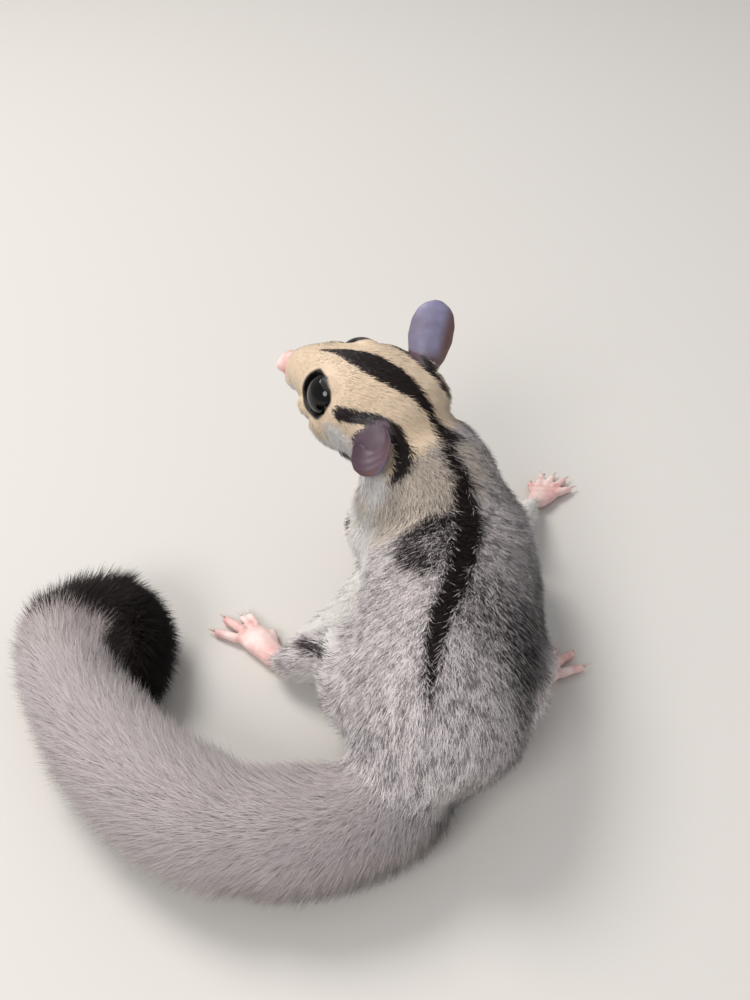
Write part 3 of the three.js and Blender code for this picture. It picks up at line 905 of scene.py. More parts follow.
def marksAt(points, normals, owners):
    pose = (points - poseShift) / mm
    local, sided, headDark, ring = headMarks(points, normals)
    name = np.array(fleshNodes)[owners]
    onHead = np.isin(name, ["head", "nose"] + earNodes)
    onTail = np.char.startswith(name, "tail")
    onPaw = np.isin(name, pawNodes)
    within = np.linalg.norm(local - markPlan["headMiddle"], axis=1) < markPlan["headReach"]
    nearHead = step(local[:, 0], -7, -1) * within
    under = step(-normals[:, 2], -0.05, 0.45)
    tailRun = tailShare(points)

    dark = darkMarks(pose, normals, headDark, nearHead)
    dark = np.where(onTail, step(tailRun, *markPlan["tailTip"]), dark)
    cream = step(local[:, 0] - 0.32 * sided[:, 1], -5.5, 0.5) * nearHead * ~onTail
    cream = np.where(onHead, cream, cream * step(local[:, 0], -3, 3))
    pale = paleMarks(pose, local, sided, under, nearHead, name)
    pale = np.where(onTail, under * 0.35, pale)
    tan = patchesAt(pose, markPlan["tanPatches"]) * ~onHead
    # On the tail, tan is painted shade on the underside, darker and browner, and its own brown before the
    # black tip.
    tan = np.where(onTail, 0.75 * under + 0.5 * step(tailRun, *markPlan["tailTan"]), tan)

    noseGap = np.linalg.norm(local - markPlan["nose"], axis=1)
    pink = np.maximum(1 - step(noseGap, *markPlan["noseReach"]), onPaw * 1.0) * (onHead | onPaw)
    ear = np.isin(name, earNodes) * 1.0
    mouth = (1 - step(mouthDistance(points), 0.15, 0.5)) * onHead
    for side in earNodes:
        mine = name == side
        hollow, brown = earMarks(side, points[mine], normals[mine], local[mine])
        dark[mine], tan[mine], pale[mine], cream[mine] = hollow, brown, 0, 0
        cup = inCup(side, points) & ~mine
        dark[cup], tan[cup], ear[cup] = 1, 0, 1
    marks = np.stack([dark, cream, pale, tan], axis=1)
    bare = np.stack([pink, ear, ring * onHead, mouth], axis=1)
    return marks, bare, onTail * 1.0


earTones = {"inside": (-0.1, 0.3), "root": (0.5, 3.5), "rear": (2.0, 4.6), "tip": (9, 14), "tipShare": 0.8}


# Dark in the hollow and at the root, brown along the rear edge and at the tip of the hollow
def earMarks(side, points, normals, local):
    place = toEar(side, points)
    facing = normals @ np.array(earFrame(side).to_3x3())[:, 0]
    share = np.clip(place[:, 2] / earPlan["length"], 0, 1)
    root, tip = (np.array(earPlan[side][key]) for key in ("root", "tip"))
    behind = (root + (tip - root) * share[:, None] - local)[:, 0]
    inside = step(facing, *earTones["inside"])
    hollow = np.maximum(inside, 1 - step(place[:, 2], *earTones["root"]))
    atTip = earTones["tipShare"] * inside * step(place[:, 2], *earTones["tip"])
    brown = np.maximum(step(behind, *earTones["rear"]), atTip)
    return hollow, brown


def nearestPlace(points, line):
    stride = pathPlan["stride"]
    return ((points[:, None, :] - line[None, ::stride, :]) ** 2).sum(axis=2).argmin(axis=1) * stride


def nearestOn(points, line):
    tree = KDTree(len(line))
    for index, spot in enumerate(line):
        tree.insert(spot, index)
    tree.balance()
    return np.array([tree.find(point)[1] for point in points])


tailLine = alongPath("tail", pathPlan["tailCount"])[0]


# Points are first put in cells, so that each cell is looked up once
def tailShare(points):
    cell = markPlan["tailCell"] * mm
    keys = np.round(points / cell).astype(int)
    cells, which = np.unique(keys, axis=0, return_inverse=True)
    found = nearestOn(cells * cell, tailLine)
    return (found / (len(tailLine) - 1))[which.ravel()]


# Attributes

def paint(mesh, name, values):
    layer = mesh.attributes.new(name, "FLOAT_COLOR", "POINT")
    layer.data.foreach_set("color", values.astype(np.float32).ravel())


eyeHair = {"turned": (0.6, 5.0), "aside": 0.25, "shortened": (0.3, 3.5), "shorter": 0.6}


# Hair that would lie across an eye is turned aside, and is shorter close to it
def roundEye(points, flow, side):
    middle, gaze, corner, across = eyeFrame(side)
    gap = toHead(points) - middle
    outward = unit(gap - (gap @ gaze)[:, None] * gaze) @ headTurn.T
    away = np.linalg.norm(gap, axis=1) - headPlan["eyeRadius"]
    near = 1 - step(away, *eyeHair["turned"])
    inward = np.minimum(0, (flow * outward).sum(axis=1) - eyeHair["aside"])
    shorter = 1 - eyeHair["shorter"] * (1 - step(away, *eyeHair["shortened"]))
    return flow - outward * (inward * near)[:, None], shorter


# How many rounds each field is smoothed over the skin
fieldRounds = {"length": 30, "lift": 30, "width": 30, "density": 6}
flowRounds = 40
softRounds = 8
skinStrand = {"chance": 0.5, "along": 0.15}


def skinFields(skin):
    mesh = skin.data
    points = pointsOf(mesh)
    normals = normalsOf(mesh)
    links = linksOf(mesh)
    owners = ownersOf(points)
    fields = {"points": points, "normals": normals, "links": links, "owners": owners}
    for key, rounds in fieldRounds.items():
        fields[key] = evened(coatValue(points, owners, key), links, rounds)
    flow = np.zeros((len(points), 3))
    for index, name in enumerate(fleshNodes):
        mine = owners == index
        if not mine.any():
            continue
        line, ways, _ = alongPath(coatPlan[name]["path"])
        flow[mine] = ways[nearestPlace(points[mine], line)]
    flow = evened(flow, links, flowRounds)
    for side in (1, -1):
        flow, shorter = roundEye(points, flow, side)
        fields["length"] *= shorter
    flow -= (flow * normals).sum(axis=1, keepdims=True) * normals
    fields["flow"] = unit(flow)
    onEar = np.isin(owners, [fleshNodes.index(name) for name in earNodes])
    for name in earNodes:
        place = toEar(name, points)
        fields["density"][inCup(name, points)] = 0
        bare = (place[:, 2] > earPlan["bareFrom"]) & (place[:, 2] < earPlan["bareTo"])
        fields["density"][onEar & bare] = 0
        away = np.linalg.norm(place - earPlan["shortAt"], axis=1)
        shortest = earPlan["shortest"]
        fields["length"] *= shortest + (1 - shortest) * step(away, *earPlan["shortReach"])
    for paw in pawNodes:
        mine = owners == fleshNodes.index(paw)
        tips = np.array([boxMiddle(claw) for claw in clawsOf(paw)])
        reach = np.linalg.norm(points[mine][:, None, :] - tips[None, :, :], axis=2).min(axis=1) / mm
        above = points[mine][:, 2] > pawPlan["furHeight"] * mm
        fields["density"][mine] *= step(reach, pawPlan["furFrom"], pawPlan["furTo"]) * above
    fields["softNormals"] = unit(evened(normals, links, softRounds))
    fields["marks"], fields["bare"], fields["tail"] = marksAt(points, normals, owners)
    paint(mesh, "marks", fields["marks"])
    paint(mesh, "bare", fields["bare"])
    chance, along = (np.full(len(points), skinStrand[key]) for key in ("chance", "along"))
    paint(mesh, "strand", np.stack([chance, along, fields["tail"], chance], axis=1))
    return fields


# Coat

limbWords = ("fore", "hind", "hand", "foot", "patagium")
# clump is how far apart the locks are and how strongly the tips gather, sway how far the hair turns aside
coatGrouping = {
    "coat_head": {
        "nodes": ["head", "nose"] + earNodes,
        "tufts": 49000, "form": "straight", "clump": (0.9, 0.22), "sway": 0.18,
    },
    "coat_neck": {"nodes": ["neck"], "tufts": 40000, "form": "straight", "clump": (1.5, 0.34), "sway": 0.30},
    "coat_trunk": {
        "nodes": ["trunk"], "pieces": 3,
        "tufts": 120000, "form": "straight", "clump": (1.6, 0.36), "sway": 0.34,
    },
    "coat_legs": {
        "nodes": [name for name in fleshNodes if name.split("_")[0] in limbWords],
        "tufts": 42000, "form": "straight", "clump": (1.4, 0.32), "sway": 0.28,
    },
}
for name, tufts, gap in (
    ("tail_base", 34000, 1.9), ("tail_middle", 36000, 2.0),
    ("tail_end", 27000, 2.0), ("tail_tip", 18000, 2.0),
):
    coatGrouping["coat_" + name] = {
        "nodes": [name], "tufts": tufts, "form": "straight", "clump": (gap, 0.34), "sway": 0.30,
    }
tuftPlan = {
    "patch": 0.003,
    "softness": 0.75,
    "lengthSpread": 0.28,
    "liftSpread": 0.25,
    "rootLift": 1.35,
    "tipLift": 0.45,
    "tipSway": 1.6,
    "rootSink": 0.25,
    "leastRise": 0.15,
    "leastWidth": 0.8,
    "widthSpread": 0.4,
    "middleWidth": 0.85,
    "lockJitter": 0.22,
    "lockReach": 1.03,
    "bareAbove": 0.75,
}

# A bent tuft has three corners at the root, three half way and one at the tip, and a straight one
# has three at the root and one at the tip. The places are shares of its patch of the map.
tuftForms = {
    "bent": {
        "faces": [
            (1, 0, 4), (4, 0, 3), (2, 1, 5), (5, 1, 4), (0, 2, 3), (3, 2, 5),
            (4, 3, 6), (5, 4, 6), (3, 5, 6), (1, 2, 0),
        ],
        "along": [0.05, 0.05, 0.05, 0.5, 0.5, 0.5, 1.0],
        "places": [(0, 0), (0.5, 0), (1, 0), (0.1, 0.5), (0.5, 0.5), (0.9, 0.5), (0.5, 1)],
    },
    "straight": {
        "faces": [(1, 0, 3), (2, 1, 3), (0, 2, 3), (1, 2, 0)],
        "along": [0.05, 0.05, 0.05, 1.0],
        "places": [(0, 0), (0.5, 0), (1, 0), (0.5, 1)],
    },
}


def cornersOf(mesh):
    corners = np.empty(len(mesh.polygons) * 3, dtype=np.int32)
    mesh.polygons.foreach_get("vertices", corners)
    return corners.reshape(-1, 3)


def scatter(fields, corners, faceOwner, indices, count):
    points = fields["points"]
    mine = np.isin(faceOwner, indices)
    tri = corners[mine]
    a, b, c = points[tri[:, 0]], points[tri[:, 1]], points[tri[:, 2]]
    area = np.linalg.norm(np.cross(b - a, c - a), axis=1) / 2
    thick = fields["density"][tri].mean(axis=1)
    weight = area * np.maximum(thick, 0)
    picked = dice.choice(len(tri), size=count, p=weight / weight.sum())
    one, two = dice.random(count), dice.random(count)
    over = one + two > 1
    one[over], two[over] = 1 - one[over], 1 - two[over]
    shares = np.stack([1 - one - two, one, two], axis=1)
    return tri[picked], shares


def at(values, tri, shares):
    picked = values[tri]
    if picked.ndim == 2:
        return (picked * shares).sum(axis=1)
    return (picked * shares[:, :, None]).sum(axis=1)


def clumped(roots, tips, gap, strength):
    cells = np.round(roots / (gap * mm) + dice.normal(0, tuftPlan["lockJitter"], roots.shape)).astype(int)
    _, which = np.unique(cells, axis=0, return_inverse=True)
    which = which.ravel()
    count = np.bincount(which)
    reach = tips - roots
    centre = np.stack([np.bincount(which, roots[:, axis]) / count for axis in range(3)], axis=1)[which]
    mean = np.stack([np.bincount(which, reach[:, axis]) / count for axis in range(3)], axis=1)[which]
    return tips + strength * (centre + mean * tuftPlan["lockReach"] - tips)


def growTufts(fields, tri, shares, plan):
    roots = at(fields["points"], tri, shares)
    normals = unit(at(fields["normals"], tri, shares))
    soft = unit(at(fields["softNormals"], tri, shares))
    flow = at(fields["flow"], tri, shares)
    flow = unit(flow - (flow * normals).sum(axis=1, keepdims=True) * normals)
    count = len(roots)
    side = np.cross(flow, normals)
    spread = dice.normal(0, 1, count).clip(-1.8, 1.6)
    length = at(fields["length"], tri, shares) * (1 + tuftPlan["lengthSpread"] * spread)
    spread = dice.normal(0, 1, count).clip(-2, 2)
    lift = np.radians(at(fields["lift"], tri, shares) * (1 + tuftPlan["liftSpread"] * spread))[:, None]
    sway = side * plan["sway"] * dice.normal(0, 1, count)[:, None]
    rootLift, tipLift = lift * tuftPlan["rootLift"], lift * tuftPlan["tipLift"]
    rootWay = unit(flow * np.cos(rootLift) + normals * np.sin(rootLift) + sway)
    tipWay = unit(flow * np.cos(tipLift) + normals * np.sin(tipLift) + sway * tuftPlan["tipSway"])
    low = roots - normals * tuftPlan["rootSink"] * mm
    mid = low + rootWay * (length * 0.5 * mm)[:, None]
    tips = mid + tipWay * (length * 0.5 * mm)[:, None]
    tips = clumped(roots, tips, *plan["clump"])
    mid = mid + (clumped(roots, mid, *plan["clump"]) - mid) * 0.5
    for row in (tips, mid, low):
        row[:, 2] = np.maximum(row[:, 2], tuftPlan["leastRise"] * mm)
    spread = tuftPlan["leastWidth"] + tuftPlan["widthSpread"] * dice.random(count)
    width = at(fields["width"], tri, shares) * spread * mm
    return {"low": low, "mid": mid, "tip": tips, "width": width, "side": side, "normal": soft}


def tuftCorners(tufts, form):
    side, normal, width = tufts["side"], tufts["normal"], tufts["width"][:, None]
    turns = [side, -side * 0.5 + normal * 0.75, -side * 0.5 - normal * 0.75]
    rows = [tufts["low"] + turn * width for turn in turns]
    if form == "bent":
        rows += [tufts["mid"] + turn * width * tuftPlan["middleWidth"] for turn in turns]
    rows.append(tufts["tip"])
    shade = tuftPlan["softness"]
    rounds = len(rows) // 3
    normals = [unit(normal * shade + turn * (1 - shade)) for turn in turns] * rounds + [normal]
    return np.stack(rows, axis=1), np.stack(normals, axis=1)


def patchMap(centres, form):
    steps = (np.array(tuftForms[form]["places"]) - 0.5) * tuftPlan["patch"]
    return centres[:, None, :] + steps[None, :, :]


# A place on the skin, unwrapped: how far along its path, and the turn round it
def unwrapped(points, owners):
    uv = np.zeros((len(points), 2))
    for index in np.unique(owners):
        name = fleshNodes[index]
        mine = owners == index
        line, ways, places = alongPath(coatPlan[name]["path"])
        spots = points[mine]
        nearest = nearestPlace(spots, line)
        gap = spots - line[nearest]
        along = places[nearest] + (gap * ways[nearest]).sum(axis=1)
        across = unit(np.cross(ways[nearest], (0, 0, 1)))
        rise = np.cross(across, ways[nearest])
        turn = np.arctan2((gap * across).sum(axis=1), -(gap * rise).sum(axis=1)) / (2 * math.pi) + 0.5
        uv[mine] = np.stack([turn, along], axis=1)
    return uv


def tiled(uv, owners):
    names = np.unique(owners)
    width = 1 / len(names)
    result = np.zeros_like(uv)
    for slot, index in enumerate(names):
        mine = owners == index
        run = uv[mine, 1]
        share = (run - run.min()) / max(run.max() - run.min(), 1e-9)
        result[mine, 0] = (slot + 0.02 + 0.96 * uv[mine, 0]) * width
        result[mine, 1] = 0.01 + 0.98 * share
    return result


def makeCoatPiece(name, fields, tri, shares, owners, plan, material):
    count = len(tri)
    form = tuftForms[plan["form"]]
    each = len(form["along"])
    tufts = growTufts(fields, tri, shares, plan)
    corners, normals = tuftCorners(tufts, plan["form"])
    mesh = bpy.data.meshes.new(name)
    faces = (np.array(form["faces"])[None, :, :] + (np.arange(count) * each)[:, None, None]).reshape(-1, 3)
    mesh.vertices.add(count * each)
    mesh.vertices.foreach_set("co", corners.astype(np.float32).ravel())
    mesh.loops.add(faces.size)
    mesh.loops.foreach_set("vertex_index", faces.astype(np.int32).ravel())
    mesh.polygons.add(len(faces))
    mesh.polygons.foreach_set("loop_start", np.arange(0, faces.size, 3, dtype=np.int32))
    shadedSmooth(mesh)
    mesh.update(calc_edges=True)
    roots = at(fields["points"], tri, shares)
    flat = patchMap(tiled(unwrapped(roots, owners), owners), plan["form"]).reshape(-1, 2)
    layer = mesh.uv_layers.new(name="OFBake")
    layer.data.foreach_set("uv", flat[faces.ravel()].astype(np.float32).ravel())
    for key in ("marks", "bare"):
        paint(mesh, key, np.repeat(at(fields[key], tri, shares), each, axis=0))
    chance = dice.random((count, 2))
    strand = np.zeros((count, each, 4))
    strand[:, :, 0] = chance[:, :1]
    strand[:, :, 1] = np.array(form["along"])
    strand[:, :, 2] = at(fields["tail"], tri, shares)[:, None]
    strand[:, :, 3] = chance[:, 1:]
    paint(mesh, "strand", strand.reshape(-1, 4))
    mesh.normals_split_custom_set_from_vertices(normals.reshape(-1, 3).astype(np.float32))
    piece = bpy.data.objects.new(name, mesh)
    bpy.context.scene.collection.objects.link(piece)
    mesh.materials.append(material)
    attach(piece, "root")
    return piece


def makeCoat(skin, fields, material):
    corners = cornersOf(skin.data)
    faceOwner = fields["owners"][corners[:, 0]]
    for name, group in coatGrouping.items():
        indices = [fleshNodes.index(node) for node in group["nodes"]]
        tri, shares = scatter(fields, corners, faceOwner, indices, group["tufts"])
        keep = np.ones(len(tri), dtype=bool)
        if name == "coat_head":
            keep = at(fields["bare"], tri, shares)[:, [0, 2]].max(axis=1) < tuftPlan["bareAbove"]
        tri, shares = tri[keep], shares[keep]
        owners = fields["owners"][tri[:, 0]]
        parts = group.get("pieces", 1)
        ahead = at(fields["points"], tri, shares)[:, 1]
        bounds = np.quantile(ahead, np.linspace(0, 1, parts + 1)[1:-1])
        which = np.searchsorted(bounds, ahead)
        for part in range(parts):
            mine = which == part
            title = name if parts == 1 else f"{name}_{part + 1}"
            piece = makeCoatPiece(title, fields, tri[mine], shares[mine], owners[mine], group, material)
            print("coat", title, int(mine.sum()), "tufts")


# Materials

def newMaterial(name):
    material = bpy.data.materials.new(name)
    material.use_nodes = True
    tree = material.node_tree
    return material, tree, tree.nodes["Principled BSDF"]


def mixed(tree, share, one, two):
    node = tree.nodes.new("ShaderNodeMix")
    node.data_type = "RGBA"
    for socket, value in ((node.inputs[0], share), (node.inputs[6], one), (node.inputs[7], two)):
        if isinstance(value, bpy.types.NodeSocket):
            tree.links.new(value, socket)
        elif isinstance(value, (tuple, list)):
            socket.default_value = (*value, 1)
        else:
            socket.default_value = value
    return node.outputs[2]


def maths(tree, operation, one, two=0.0):
    node = tree.nodes.new("ShaderNodeMath")
    node.operation = operation
    for socket, value in ((node.inputs[0], one), (node.inputs[1], two)):
        if isinstance(value, bpy.types.NodeSocket):
            tree.links.new(value, socket)
        else:
            socket.default_value = value
    return node.outputs[0]


def ranged(tree, value, low, high, start=0.0, end=1.0):
    node = tree.nodes.new("ShaderNodeMapRange")
    node.inputs["From Min"].default_value = low
    node.inputs["From Max"].default_value = high
    node.inputs["To Min"].default_value = start
    node.inputs["To Max"].default_value = end
    tree.links.new(value, node.inputs["Value"])
    return node.outputs[0]


def split(tree, name):
    attribute = tree.nodes.new("ShaderNodeAttribute")
    attribute.attribute_name = name
    parts = tree.nodes.new("ShaderNodeSeparateColor")
    tree.links.new(attribute.outputs["Color"], parts.inputs[0])
    return parts.outputs[0], parts.outputs[1], parts.outputs[2], attribute.outputs["Alpha"]


def noise(tree, scale, detail=3.0):
    place = tree.nodes.new("ShaderNodeTexCoord")
    node = tree.nodes.new("ShaderNodeTexNoise")
    node.inputs["Scale"].default_value = scale
    node.inputs["Detail"].default_value = detail
    tree.links.new(place.outputs["Object"], node.inputs["Vector"])
    return node.outputs[0]


coatColours = {
    "greyRoot": (0.20, 0.170, 0.174),
    "greyBand": (0.60, 0.540, 0.545),
    "greyTip": (0.90, 0.835, 0.840),
    "pepper": (0.060, 0.048, 0.050),
    "creamRoot": (0.74, 0.56, 0.39),
    "creamTip": (0.97, 0.80, 0.61),
    "paleRoot": (0.70, 0.66, 0.63),
    "paleTip": (0.96, 0.93, 0.90),
    "tanRoot": (0.34, 0.280, 0.240),
    "tanTip": (0.80, 0.700, 0.600),
    "darkRoot": (0.008, 0.005, 0.005),
    "darkTip": (0.018, 0.010, 0.010),
    "tailRoot": (0.25, 0.222, 0.224),
    "tailTip": (0.61, 0.552, 0.556),
    "tailBrown": (0.30, 0.235, 0.215),
}
# Ranges that are stretched to 0 to 1, or to the last two numbers where there are four
coatShares = {
    "band": (0.0, 0.45),
    "tip": (0.40, 0.95),
    "peppered": (0.28, 0.34),
    "tailBrown": (0.0, 0.3, 0.5, 0.0),
    "tanPepper": (0.14, 0.22, 0.8, 0.0),
    "creamTan": (0.0, 0.2, 0.25, 0.0),
    "tan": (0.35, 0.75),
    "cream": (0.35, 0.65),
    "pale": (0.35, 0.85),
    "dark": (0.38, 0.62),
    "blotch": (0.35, 0.65, -0.42, 0.42),
    "blotchScale": 380,
    "blotchReach": 0.9,
    "tailTan": 0.8,
    "edge": 0.5,
}


def coatGroup():
    tree = bpy.data.node_groups.new("coatColour", "ShaderNodeTree")
    names = ("dark", "cream", "pale", "tan", "chance", "along", "tail", "chanceTwo", "blotch")
    for name in names:
        tree.interface.new_socket(name, in_out="INPUT", socket_type="NodeSocketFloat")
    tree.interface.new_socket("colour", in_out="OUTPUT", socket_type="NodeSocketColor")
    source = tree.nodes.new("NodeGroupInput")
    get = {name: source.outputs[name] for name in names}
    c = coatColours
    low = ranged(tree, get["along"], *coatShares["band"])
    high = ranged(tree, get["along"], *coatShares["tip"])
    grey = mixed(tree, high, mixed(tree, low, c["greyRoot"], c["greyBand"]), c["greyTip"])
    peppered = mixed(tree, high, c["greyBand"], c["pepper"])
    blotch = maths(tree, "MULTIPLY", get["blotch"], coatShares["blotchReach"])
    few = ranged(tree, maths(tree, "ADD", get["chance"], blotch), *coatShares["peppered"])
    grey = mixed(tree, few, peppered, grey)
    tailGrey = mixed(tree, get["along"], c["tailRoot"], c["tailTip"])
    tailGrey = mixed(tree, ranged(tree, get["chance"], *coatShares["tailBrown"]), tailGrey, c["tailBrown"])
    # The tail is painted browner: painted shade on its underside, and its own brown before the black tip.
    brownAndShade = maths(tree, "MULTIPLY", get["tan"], coatShares["tailTan"])
    tailGrey = mixed(tree, brownAndShade, tailGrey, c["tailBrown"])
    tan = mixed(tree, get["along"], c["tanRoot"], c["tanTip"])
    tan = mixed(tree, ranged(tree, get["chance"], *coatShares["tanPepper"]), tan, c["pepper"])
    cream = mixed(tree, get["along"], c["creamRoot"], c["creamTip"])
    cream = mixed(tree, ranged(tree, get["chanceTwo"], *coatShares["creamTan"]), cream, c["tanRoot"])
    pale = mixed(tree, get["along"], c["paleRoot"], c["paleTip"])
    dark = mixed(tree, get["along"], c["darkRoot"], c["darkTip"])
    edge = maths(tree, "MULTIPLY", maths(tree, "SUBTRACT", get["chanceTwo"], 0.5), coatShares["edge"])
    body = mixed(tree, ranged(tree, maths(tree, "ADD", get["tan"], edge), *coatShares["tan"]), grey, tan)
    body = mixed(tree, get["tail"], body, tailGrey)
    for name, colour in (("cream", cream), ("pale", pale), ("dark", dark)):
        body = mixed(tree, ranged(tree, maths(tree, "ADD", get[name], edge), *coatShares[name]), body, colour)
    drain = tree.nodes.new("NodeGroupOutput")
    tree.links.new(body, drain.inputs["colour"])
    return tree


def coatColour(tree, group):
    node = tree.nodes.new("ShaderNodeGroup")
    node.node_tree = group
    dark, cream, pale, tan = split(tree, "marks")
    chance, along, tailPart, chanceTwo = split(tree, "strand")
    blotch = ranged(tree, noise(tree, coatShares["blotchScale"]), *coatShares["blotch"])
    values = (dark, cream, pale, tan, chance, along, tailPart, chanceTwo, blotch)
    for socket, value in zip(node.inputs, values):
        tree.links.new(value, socket)
    return node.outputs[0]


coatFinish = {
    "pink": (0.80, 0.52, 0.47), "blush": 0.75,
    "roughness": 0.62, "specular": 0.2, "sheen": 0.06, "sheenRoughness": 0.5,
}


def coatMaterial(group):
    material, tree, shader = newMaterial("coat")
    colour = coatColour(tree, group)
    pink, ear, ring, _ = split(tree, "bare")
    colour = mixed(tree, maths(tree, "MULTIPLY", pink, coatFinish["blush"]), colour, coatFinish["pink"])
    colour = mixed(tree, ring, colour, coatColours["darkRoot"])
    tree.links.new(colour, shader.inputs["Base Color"])
    shader.inputs["Roughness"].default_value = coatFinish["roughness"]
    shader.inputs["Specular IOR Level"].default_value = coatFinish["specular"]
    shader.inputs["Sheen Weight"].default_value = coatFinish["sheen"]
    shader.inputs["Sheen Roughness"].default_value = coatFinish["sheenRoughness"]
    return material


skinColours = {
    "pink": (0.80, 0.54, 0.50),
    "pinkDeep": (0.70, 0.36, 0.34),
    "pinkPale": (0.87, 0.70, 0.66),
    "earInside": (0.105, 0.066, 0.088),
    "earOutside": (0.25, 0.24, 0.38),
    "earBack": (0.17, 0.15, 0.22),
    "earBrown": (0.115, 0.050, 0.038),
    "lid": (0.008, 0.006, 0.006),
    "mouth": (0.20, 0.06, 0.05),
    "shadow": (0.10, 0.08, 0.08),
}
skinFinish = {
    "shadowShare": 0.2,
    "subsurface": 0.12,
    "radius": (1.0, 0.35, 0.25),
    "reach": 1.2,
    "bump": 0.35,
    "bumpHeight": 0.2,
    "bumpScale": 1500,
    "bumpDetail": 4.0,
}


# Each is a scale, a detail and a range
speckles = {
    "mottled": (420, 4.0, 0.35, 0.7),
    "patchy": (150, 2.0, 0.4, 0.65),
    "ear": (160, 3.0, 0.35, 0.7),
    "gloss": (300, 3.0, 0.3, 0.7, 0.42, 0.62),
    "eye": (380, 2.0, 0.35, 0.7),
    "claw": (500, 2.0, 0.35, 0.7),
}


def speckled(tree, name):
    scale, detail, *shares = speckles[name]
    return ranged(tree, noise(tree, scale, detail), *shares)


def skinMaterial(group):
    material, tree, shader = newMaterial("skin")
    c = skinColours
    under = mixed(tree, skinFinish["shadowShare"], coatColour(tree, group), c["shadow"])
    pink, ear, ring, mouth = split(tree, "bare")
    mottled = mixed(tree, speckled(tree, "mottled"), c["pinkDeep"], c["pink"])
    mottled = mixed(tree, speckled(tree, "patchy"), mottled, c["pinkPale"])
    hollow, _, _, brown = split(tree, "marks")
    earTone = mixed(tree, speckled(tree, "ear"), c["earBack"], c["earOutside"])
    earTone = mixed(tree, hollow, earTone, c["earInside"])
    earTone = mixed(tree, brown, earTone, c["earBrown"])
    colour = mixed(tree, pink, under, mottled)
    colour = mixed(tree, ear, colour, earTone)
    colour = mixed(tree, ring, colour, c["lid"])
    colour = mixed(tree, mouth, colour, c["mouth"])
    tree.links.new(colour, shader.inputs["Base Color"])
    tree.links.new(speckled(tree, "gloss"), shader.inputs["Roughness"])
    shader.inputs["Subsurface Weight"].default_value = skinFinish["subsurface"]
    shader.inputs["Subsurface Radius"].default_value = skinFinish["radius"]
    shader.inputs["Subsurface Scale"].default_value = skinFinish["reach"] * mm
    bump = tree.nodes.new("ShaderNodeBump")
    bump.inputs["Strength"].default_value = skinFinish["bump"]
    bump.inputs["Distance"].default_value = skinFinish["bumpHeight"] * mm
    grain = noise(tree, skinFinish["bumpScale"], skinFinish["bumpDetail"])
    tree.links.new(grain, bump.inputs["Height"])
    tree.links.new(bump.outputs[0], shader.inputs["Normal"])
    return material


# Eyes and claws

eyeFinish = {
    "pupil": (0.0006, 0.0006, 0.001), "iris": (0.003, 0.002, 0.002), "roughness": 0.04, "specular": 0.3,
    "turns": 56, "rows": 36,
}


def eyeMaterial():
    material, tree, shader = newMaterial("eye")
    tone = mixed(tree, speckled(tree, "eye"), eyeFinish["pupil"], eyeFinish["iris"])
    tree.links.new(tone, shader.inputs["Base Color"])
    shader.inputs["Roughness"].default_value = eyeFinish["roughness"]
    shader.inputs["Specular IOR Level"].default_value = eyeFinish["specular"]
    return material


def makeEye(name, side, material):
    middle, facing, corner, across = eyeFrame(side)
    bm = bmesh.new()
    turns, rows = eyeFinish["turns"], eyeFinish["rows"]
    bmesh.ops.create_uvsphere(bm, u_segments=turns, v_segments=rows, radius=headPlan["eyeRadius"] * mm)
    bmesh.ops.scale(bm, vec=(1, 1, headPlan["eyeFlat"]), verts=bm.verts)
    turn = Matrix((Vector(corner), Vector(across), Vector(facing))).transposed().to_4x4()
    place = headPlace @ Matrix.Translation(Vector(middle) * mm) @ turn
    bmesh.ops.transform(bm, matrix=place, verts=bm.verts)
    eye = meshObject(name + "_ball", bm)
    shadedSmooth(eye.data)
    eye.data.materials.append(material)
    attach(eye, "root")
    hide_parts(name)


clawPlan = {
    "radius": 0.42, "rings": 9, "sides": 10, "arch": 0.45, "length": 2.6, "buried": 0.25, "back": 0.7,
    "taper": 0.93, "taperPower": 1.4, "flatness": 0.75,
    "root": (0.62, 0.45, 0.38), "tip": (0.80, 0.68, 0.60), "roughness": 0.32,
}


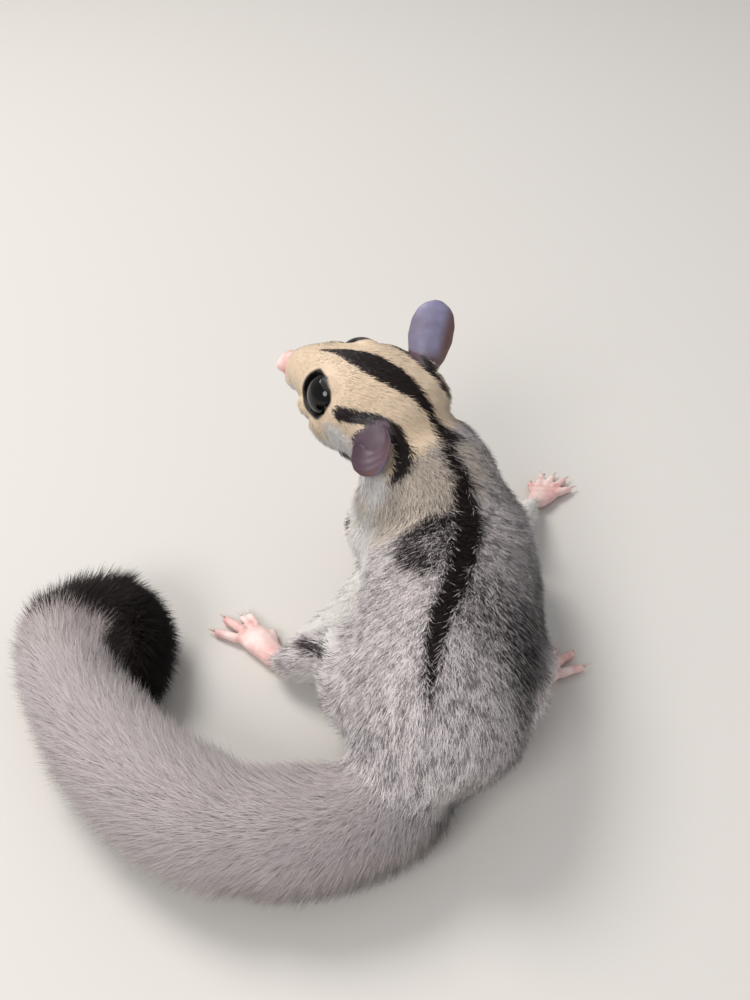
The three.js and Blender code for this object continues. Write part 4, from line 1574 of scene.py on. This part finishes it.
def clawRings(base, away, bm):
    rings = []
    across = Vector((0, 0, 1)).cross(away).normalized()
    for ring in range(clawPlan["rings"]):
        share = ring / (clawPlan["rings"] - 1)
        radius = clawPlan["radius"] * mm * (1 - clawPlan["taper"] * share ** clawPlan["taperPower"])
        reach = clawPlan["length"] * mm * (share - clawPlan["buried"])
        rise = clawPlan["arch"] * mm * (1 - (share * 1.7) ** 2 * 0.42)
        middle = base + away * reach + Vector((0, 0, rise))
        circle = []
        for corner in range(clawPlan["sides"]):
            angle = 2 * math.pi * corner / clawPlan["sides"]
            offset = across * math.cos(angle) * radius * clawPlan["flatness"]
            offset += Vector((0, 0, 1)) * math.sin(angle) * radius
            circle.append(bm.verts.new(middle + offset))
        rings.append(circle)
    for one, two in zip(rings, rings[1:]):
        for corner in range(clawPlan["sides"]):
            onward = (corner + 1) % clawPlan["sides"]
            bm.faces.new((one[corner], one[onward], two[onward], two[corner]))
    bm.faces.new(rings[0][::-1])
    bm.faces.new(rings[-1])


def makeClaws(paw, material):
    bm = bmesh.new()
    middle = boxMiddle(paw)
    for claw in clawsOf(paw):
        low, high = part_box(claw)
        centre = (low + high) / 2
        span, spread = high - low, centre - middle
        away = Vector((math.copysign(span.x, spread.x), math.copysign(span.y, spread.y), 0)).normalized()
        clawRings(centre - away * clawPlan["back"] * mm, away, bm)
    bmesh.ops.recalc_face_normals(bm, faces=bm.faces)
    claws = meshObject(paw + "_claws", bm)
    shadedSmooth(claws.data)
    claws.data.materials.append(material)
    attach(claws, "root")
    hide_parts(*clawsOf(paw))


def clawMaterial():
    material, tree, shader = newMaterial("claw")
    tone = mixed(tree, speckled(tree, "claw"), clawPlan["root"], clawPlan["tip"])
    tree.links.new(tone, shader.inputs["Base Color"])
    shader.inputs["Roughness"].default_value = clawPlan["roughness"]
    return material


# Making

makeCamera()
makeWorld()
makeLight("key")
makeLight("fill")
makeFloor()
print("stage made")

skin = makeSkin()
print("skin made", len(skin.data.polygons), "triangles")
fields = skinFields(skin)
colourGroup = coatGroup()
skin.data.materials.clear()
skin.data.materials.append(skinMaterial(colourGroup))
print("skin painted")

eyeBlack = eyeMaterial()
makeEye("eye_left", 1, eyeBlack)
makeEye("eye_right", -1, eyeBlack)
horn = clawMaterial()
for paw in pawNodes:
    makeClaws(paw, horn)
print("eyes and claws made")

makeCoat(skin, fields, coatMaterial(colourGroup))
print("coat made")
